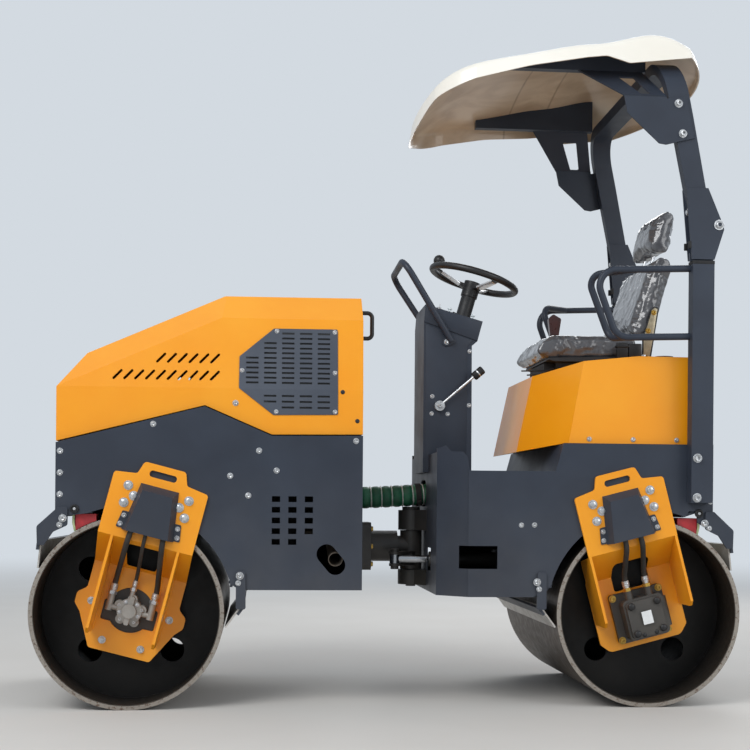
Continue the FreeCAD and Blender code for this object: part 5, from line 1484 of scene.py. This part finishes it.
@dataclass
class Seat:
    """Cushion, back and headrest, puffed from their plain solids and wrapped in creased clear film.

    Attributes:
        voxel: size of the remeshed skin's faces, in metres as all sizes of this class.
        frames: how long the cloth is blown up.
        shrink: how far the skin is drawn in before.
        room: how far a fold may stand past the solid's box, except below it.
        fold_height: height of the film's folds, and wrinkle_height of the fine ones between them.
    """

    shop: Shop
    voxel: float = 0.006
    frames: int = 20
    shrink: float = 0.004
    room: float = 0.006
    folds_per_m: float = 16.0
    wrinkles_per_m: float = 42.0
    fold_height: float = 0.0028
    wrinkle_height: float = 0.0009
    pads: tuple[Pad, ...] = (Pad("seat_cushion", 4.0, 16.0), Pad("seat_back", 4.0, 16.0),
                             Pad("headrest", 4.0, 12.0))

    def start_mesh(self, node: str) -> bpy.types.Mesh:
        """Copy of a node's mesh, closed and drawn in a little.

        Args:
            node: the plain solid's name.

        Returns:
            A new mesh.
        """
        bm = bmesh.new()
        bm.from_mesh(self.shop.frame["nodes"][node].data)
        bmesh.ops.remove_doubles(bm, verts=bm.verts, dist=1e-5)
        bm.normal_update()
        for vert in bm.verts:
            vert.co -= vert.normal * self.shrink
        mesh = bpy.data.meshes.new(node + "_pad")
        bm.to_mesh(mesh)
        bm.free()
        return mesh

    def final_mesh(self, obj: bpy.types.Object) -> None:
        """Replaces an object's mesh by what its modifiers make of it.

        Args:
            obj: the object, whose modifiers are cleared.
        """
        shaped = bpy.data.meshes.new_from_object(obj.evaluated_get(bpy.context.evaluated_depsgraph_get()))
        obj.modifiers.clear()
        obj.data = shaped

    def puff_up(self, obj: bpy.types.Object, pad: Pad) -> None:
        """Blows the pad up as cloth under pressure and keeps each point near its start.

        Args:
            obj: the remeshed pad.
            pad: its pressure and the furthest that a point may move.
        """
        rest = [v.co.copy() for v in obj.data.vertices]
        cloth = obj.modifiers.new("puff", "CLOTH")
        cloth.settings.use_pressure = True
        cloth.settings.uniform_pressure_force = pad.puff
        cloth.settings.effector_weights.gravity = 0
        cloth.point_cache.frame_end = self.frames
        for frame in range(1, self.frames + 1):
            bpy.context.scene.frame_set(frame)
        self.final_mesh(obj)
        bpy.context.scene.frame_set(1)
        for vert, start in zip(obj.data.vertices, rest):
            move = vert.co - start
            if move.length > pad.cap_mm * MM:
                vert.co = start + move.normalized() * pad.cap_mm * MM

    def crease(self, obj: bpy.types.Object, node: str) -> None:
        """Lifts the film's larger folds out of the surface, inside the solid's room.

        Args:
            obj: the pad.
            node: the plain solid's name.
        """
        low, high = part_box(node)
        below = (self.room, self.room, 0.0)
        normals = [v.normal.copy() for v in obj.data.vertices]
        for vert, normal in zip(obj.data.vertices, normals):
            drift = noise.noise_vector(vert.co * self.folds_per_m / 2) * 0.9
            fold = 1 - abs(noise.noise(vert.co * self.folds_per_m + drift))
            fine = 1 - abs(noise.noise(vert.co * self.wrinkles_per_m))
            vert.co += normal * (self.fold_height * (fold ** 6 - 0.35) + self.wrinkle_height * fine ** 5)
            for i in range(3):
                vert.co[i] = min(max(vert.co[i], low[i] - below[i]), high[i] + self.room)

    def build(self) -> None:
        """The three pads."""
        for pad in self.pads:
            mesh = self.start_mesh(pad.node)
            obj = bpy.data.objects.new(pad.node + "_padded", mesh)
            bpy.context.scene.collection.objects.link(obj)
            remesh = obj.modifiers.new("skin", "REMESH")
            remesh.mode = "VOXEL"
            remesh.voxel_size = self.voxel
            self.final_mesh(obj)
            self.puff_up(obj, pad)
            self.crease(obj, pad.node)
            obj.data.shade_smooth()
            obj.data.materials.clear()
            obj.data.materials.append(self.shop.finishes.get(FILMED))
            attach(obj, "rear_frame")
            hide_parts(pad.node)
            log.info("pad %s: %d faces", obj.name, len(obj.data.polygons))


# Studio


@dataclass
class Studio:
    """Pale floor that fades to white, soft lamps and the camera of the reference view."""

    eye: tuple[float, float, float] = (-0.493, -5.249, 0.7505)
    turn: float = 0.0894
    roll: float = 0.0082
    focal_px: float = 1298.06
    frame_px: float = 750.0
    horizon_px: float = 504.7
    sensor_mm: float = 36.0
    backdrop: str = "#D3DAE1"

    def camera(self) -> None:
        """Level camera with a rise, turned a little to the right."""
        data = bpy.data.cameras.new("view")
        data.sensor_width = self.sensor_mm
        data.lens = self.focal_px / self.frame_px * self.sensor_mm
        data.shift_y = (self.horizon_px - self.frame_px / 2) / self.frame_px
        data.clip_end = 200
        right = Vector((math.cos(self.turn), -math.sin(self.turn), 0))
        ahead = Vector((math.sin(self.turn), math.cos(self.turn), 0))
        up = Vector((0, 0, 1))
        across = right * math.cos(self.roll) + up * math.sin(self.roll)
        rise = up * math.cos(self.roll) - right * math.sin(self.roll)
        obj = bpy.data.objects.new("view", data)
        obj.matrix_world = Matrix.Translation(self.eye) @ Matrix((across, rise, -ahead)).transposed().to_4x4()
        bpy.context.scene.collection.objects.link(obj)
        bpy.context.scene.camera = obj

    def floor(self) -> None:
        """Wide pale disc; what the camera sees of it fades into the backdrop with distance."""
        bm = bmesh.new()
        bmesh.ops.create_circle(bm, cap_ends=True, segments=96, radius=40.0)
        mesh = bpy.data.meshes.new("floor")
        bm.to_mesh(mesh)
        bm.free()
        obj = bpy.data.objects.new("floor", mesh)
        bpy.context.scene.collection.objects.link(obj)
        material = bpy.data.materials.new("pale_floor")
        material.use_nodes = True
        tree = material.node_tree
        shader = tree.nodes["Principled BSDF"]
        place = add_node(tree, "ShaderNodeTexCoord").outputs["Object"]
        mottle = add_node(tree, "ShaderNodeTexNoise", {"Vector": place, "Scale": 1.4, "Detail": 6.0})
        tone = add_node(tree, "ShaderNodeMix", {MIX_FACTOR: mottle.outputs["Fac"], MIX_A: linear("#D3D0CB"),
                                                MIX_B: linear("#C9C5BF")}, data_type="RGBA")
        tree.links.new(tone.outputs[MIX_RESULT], shader.inputs["Base Color"])
        shader.inputs["Roughness"].default_value = 0.85
        reach = add_node(tree, "ShaderNodeVectorMath", {0: place}, operation="LENGTH")
        fade = add_node(tree, "ShaderNodeMapRange", {"Value": reach.outputs["Value"], "From Min": 3.0,
                                                     "From Max": 14.0}, interpolation_type="SMOOTHSTEP")
        seen = add_node(tree, "ShaderNodeLightPath").outputs["Is Camera Ray"]
        share = add_node(tree, "ShaderNodeMath", {0: fade.outputs[0], 1: seen}, operation="MULTIPLY")
        white = add_node(tree, "ShaderNodeEmission", {"Color": linear(self.backdrop), "Strength": 1.0})
        mixed = add_node(tree, "ShaderNodeMixShader", {0: share.outputs[0], 1: shader.outputs[0],
                                                       2: white.outputs[0]})
        tree.links.new(mixed.outputs[0], tree.nodes["Material Output"].inputs["Surface"])
        mesh.materials.append(material)

    def lamps(self) -> None:
        """Soft key from the front left above, a fill from the right and a lamp behind."""
        for name, place, aim, size, watts in (
                ("key", (-3.4, -4.6, 5.2), (0.0, 0.0, 0.9), 3.5, 265.0),
                ("fill", (4.5, -4.0, 3.0), (0.3, 0.0, 1.0), 3.5, 95.0),
                ("back", (2.5, 4.5, 4.5), (0.0, 0.0, 1.0), 3.5, 120.0)):
            data = bpy.data.lights.new(name, "AREA")
            data.shape = "SQUARE"
            data.size = size
            data.energy = watts
            obj = bpy.data.objects.new(name, data)
            aimed = (Vector(aim) - Vector(place)).to_track_quat("-Z", "Y")
            obj.matrix_world = Matrix.Translation(place) @ aimed.to_matrix().to_4x4()
            bpy.context.scene.collection.objects.link(obj)

    def sky(self) -> None:
        """Soft daylight; the camera sees the pale backdrop."""
        world = bpy.data.worlds.new("sky")
        world.use_nodes = True
        bpy.context.scene.world = world
        tree = world.node_tree
        light = tree.nodes["Background"]
        light.inputs["Color"].default_value = linear("#E4ECF5")
        light.inputs["Strength"].default_value = 0.68
        seen = add_node(tree, "ShaderNodeLightPath")
        either = add_node(tree, "ShaderNodeMath", {0: seen.outputs["Is Camera Ray"],
                                                   1: seen.outputs["Is Transmission Ray"]},
                          operation="MAXIMUM")
        white = add_node(tree, "ShaderNodeBackground", {"Color": linear(self.backdrop), "Strength": 1.0})
        mixed = add_node(tree, "ShaderNodeMixShader", {0: either.outputs[0], 1: light.outputs[0],
                                                       2: white.outputs[0]})
        tree.links.new(mixed.outputs[0], tree.nodes["World Output"].inputs["Surface"])

    def build(self) -> None:
        """Camera, floor, lamps and sky."""
        bpy.context.scene.view_settings.view_transform = "Standard"
        self.camera()
        self.floor()
        self.lamps()
        self.sky()


def corners(bounds: tuple) -> list[list[float]]:
    """Two corners of a box as plain numbers, rounded to a hundredth of a millimetre."""
    return [[round(float(x), 5) for x in corner] for corner in bounds]


def main() -> None:
    """Loads the frame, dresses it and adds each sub-assembly."""
    logging.basicConfig(level=logging.INFO, format="%(message)s")
    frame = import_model()
    shop = Shop(frame, Finishes())
    Studio().build()
    shop.finishes.dress(frame)
    for assembly in (Fasteners, DriveMotors, CentreJoint, DrumWipers, Console, PostTrim, HoodTrim,
                     SeatFittings, Seat):
        assembly(shop).build()
    log.info("%d new pieces", shop.count)


if __name__ == "__main__":
    main()
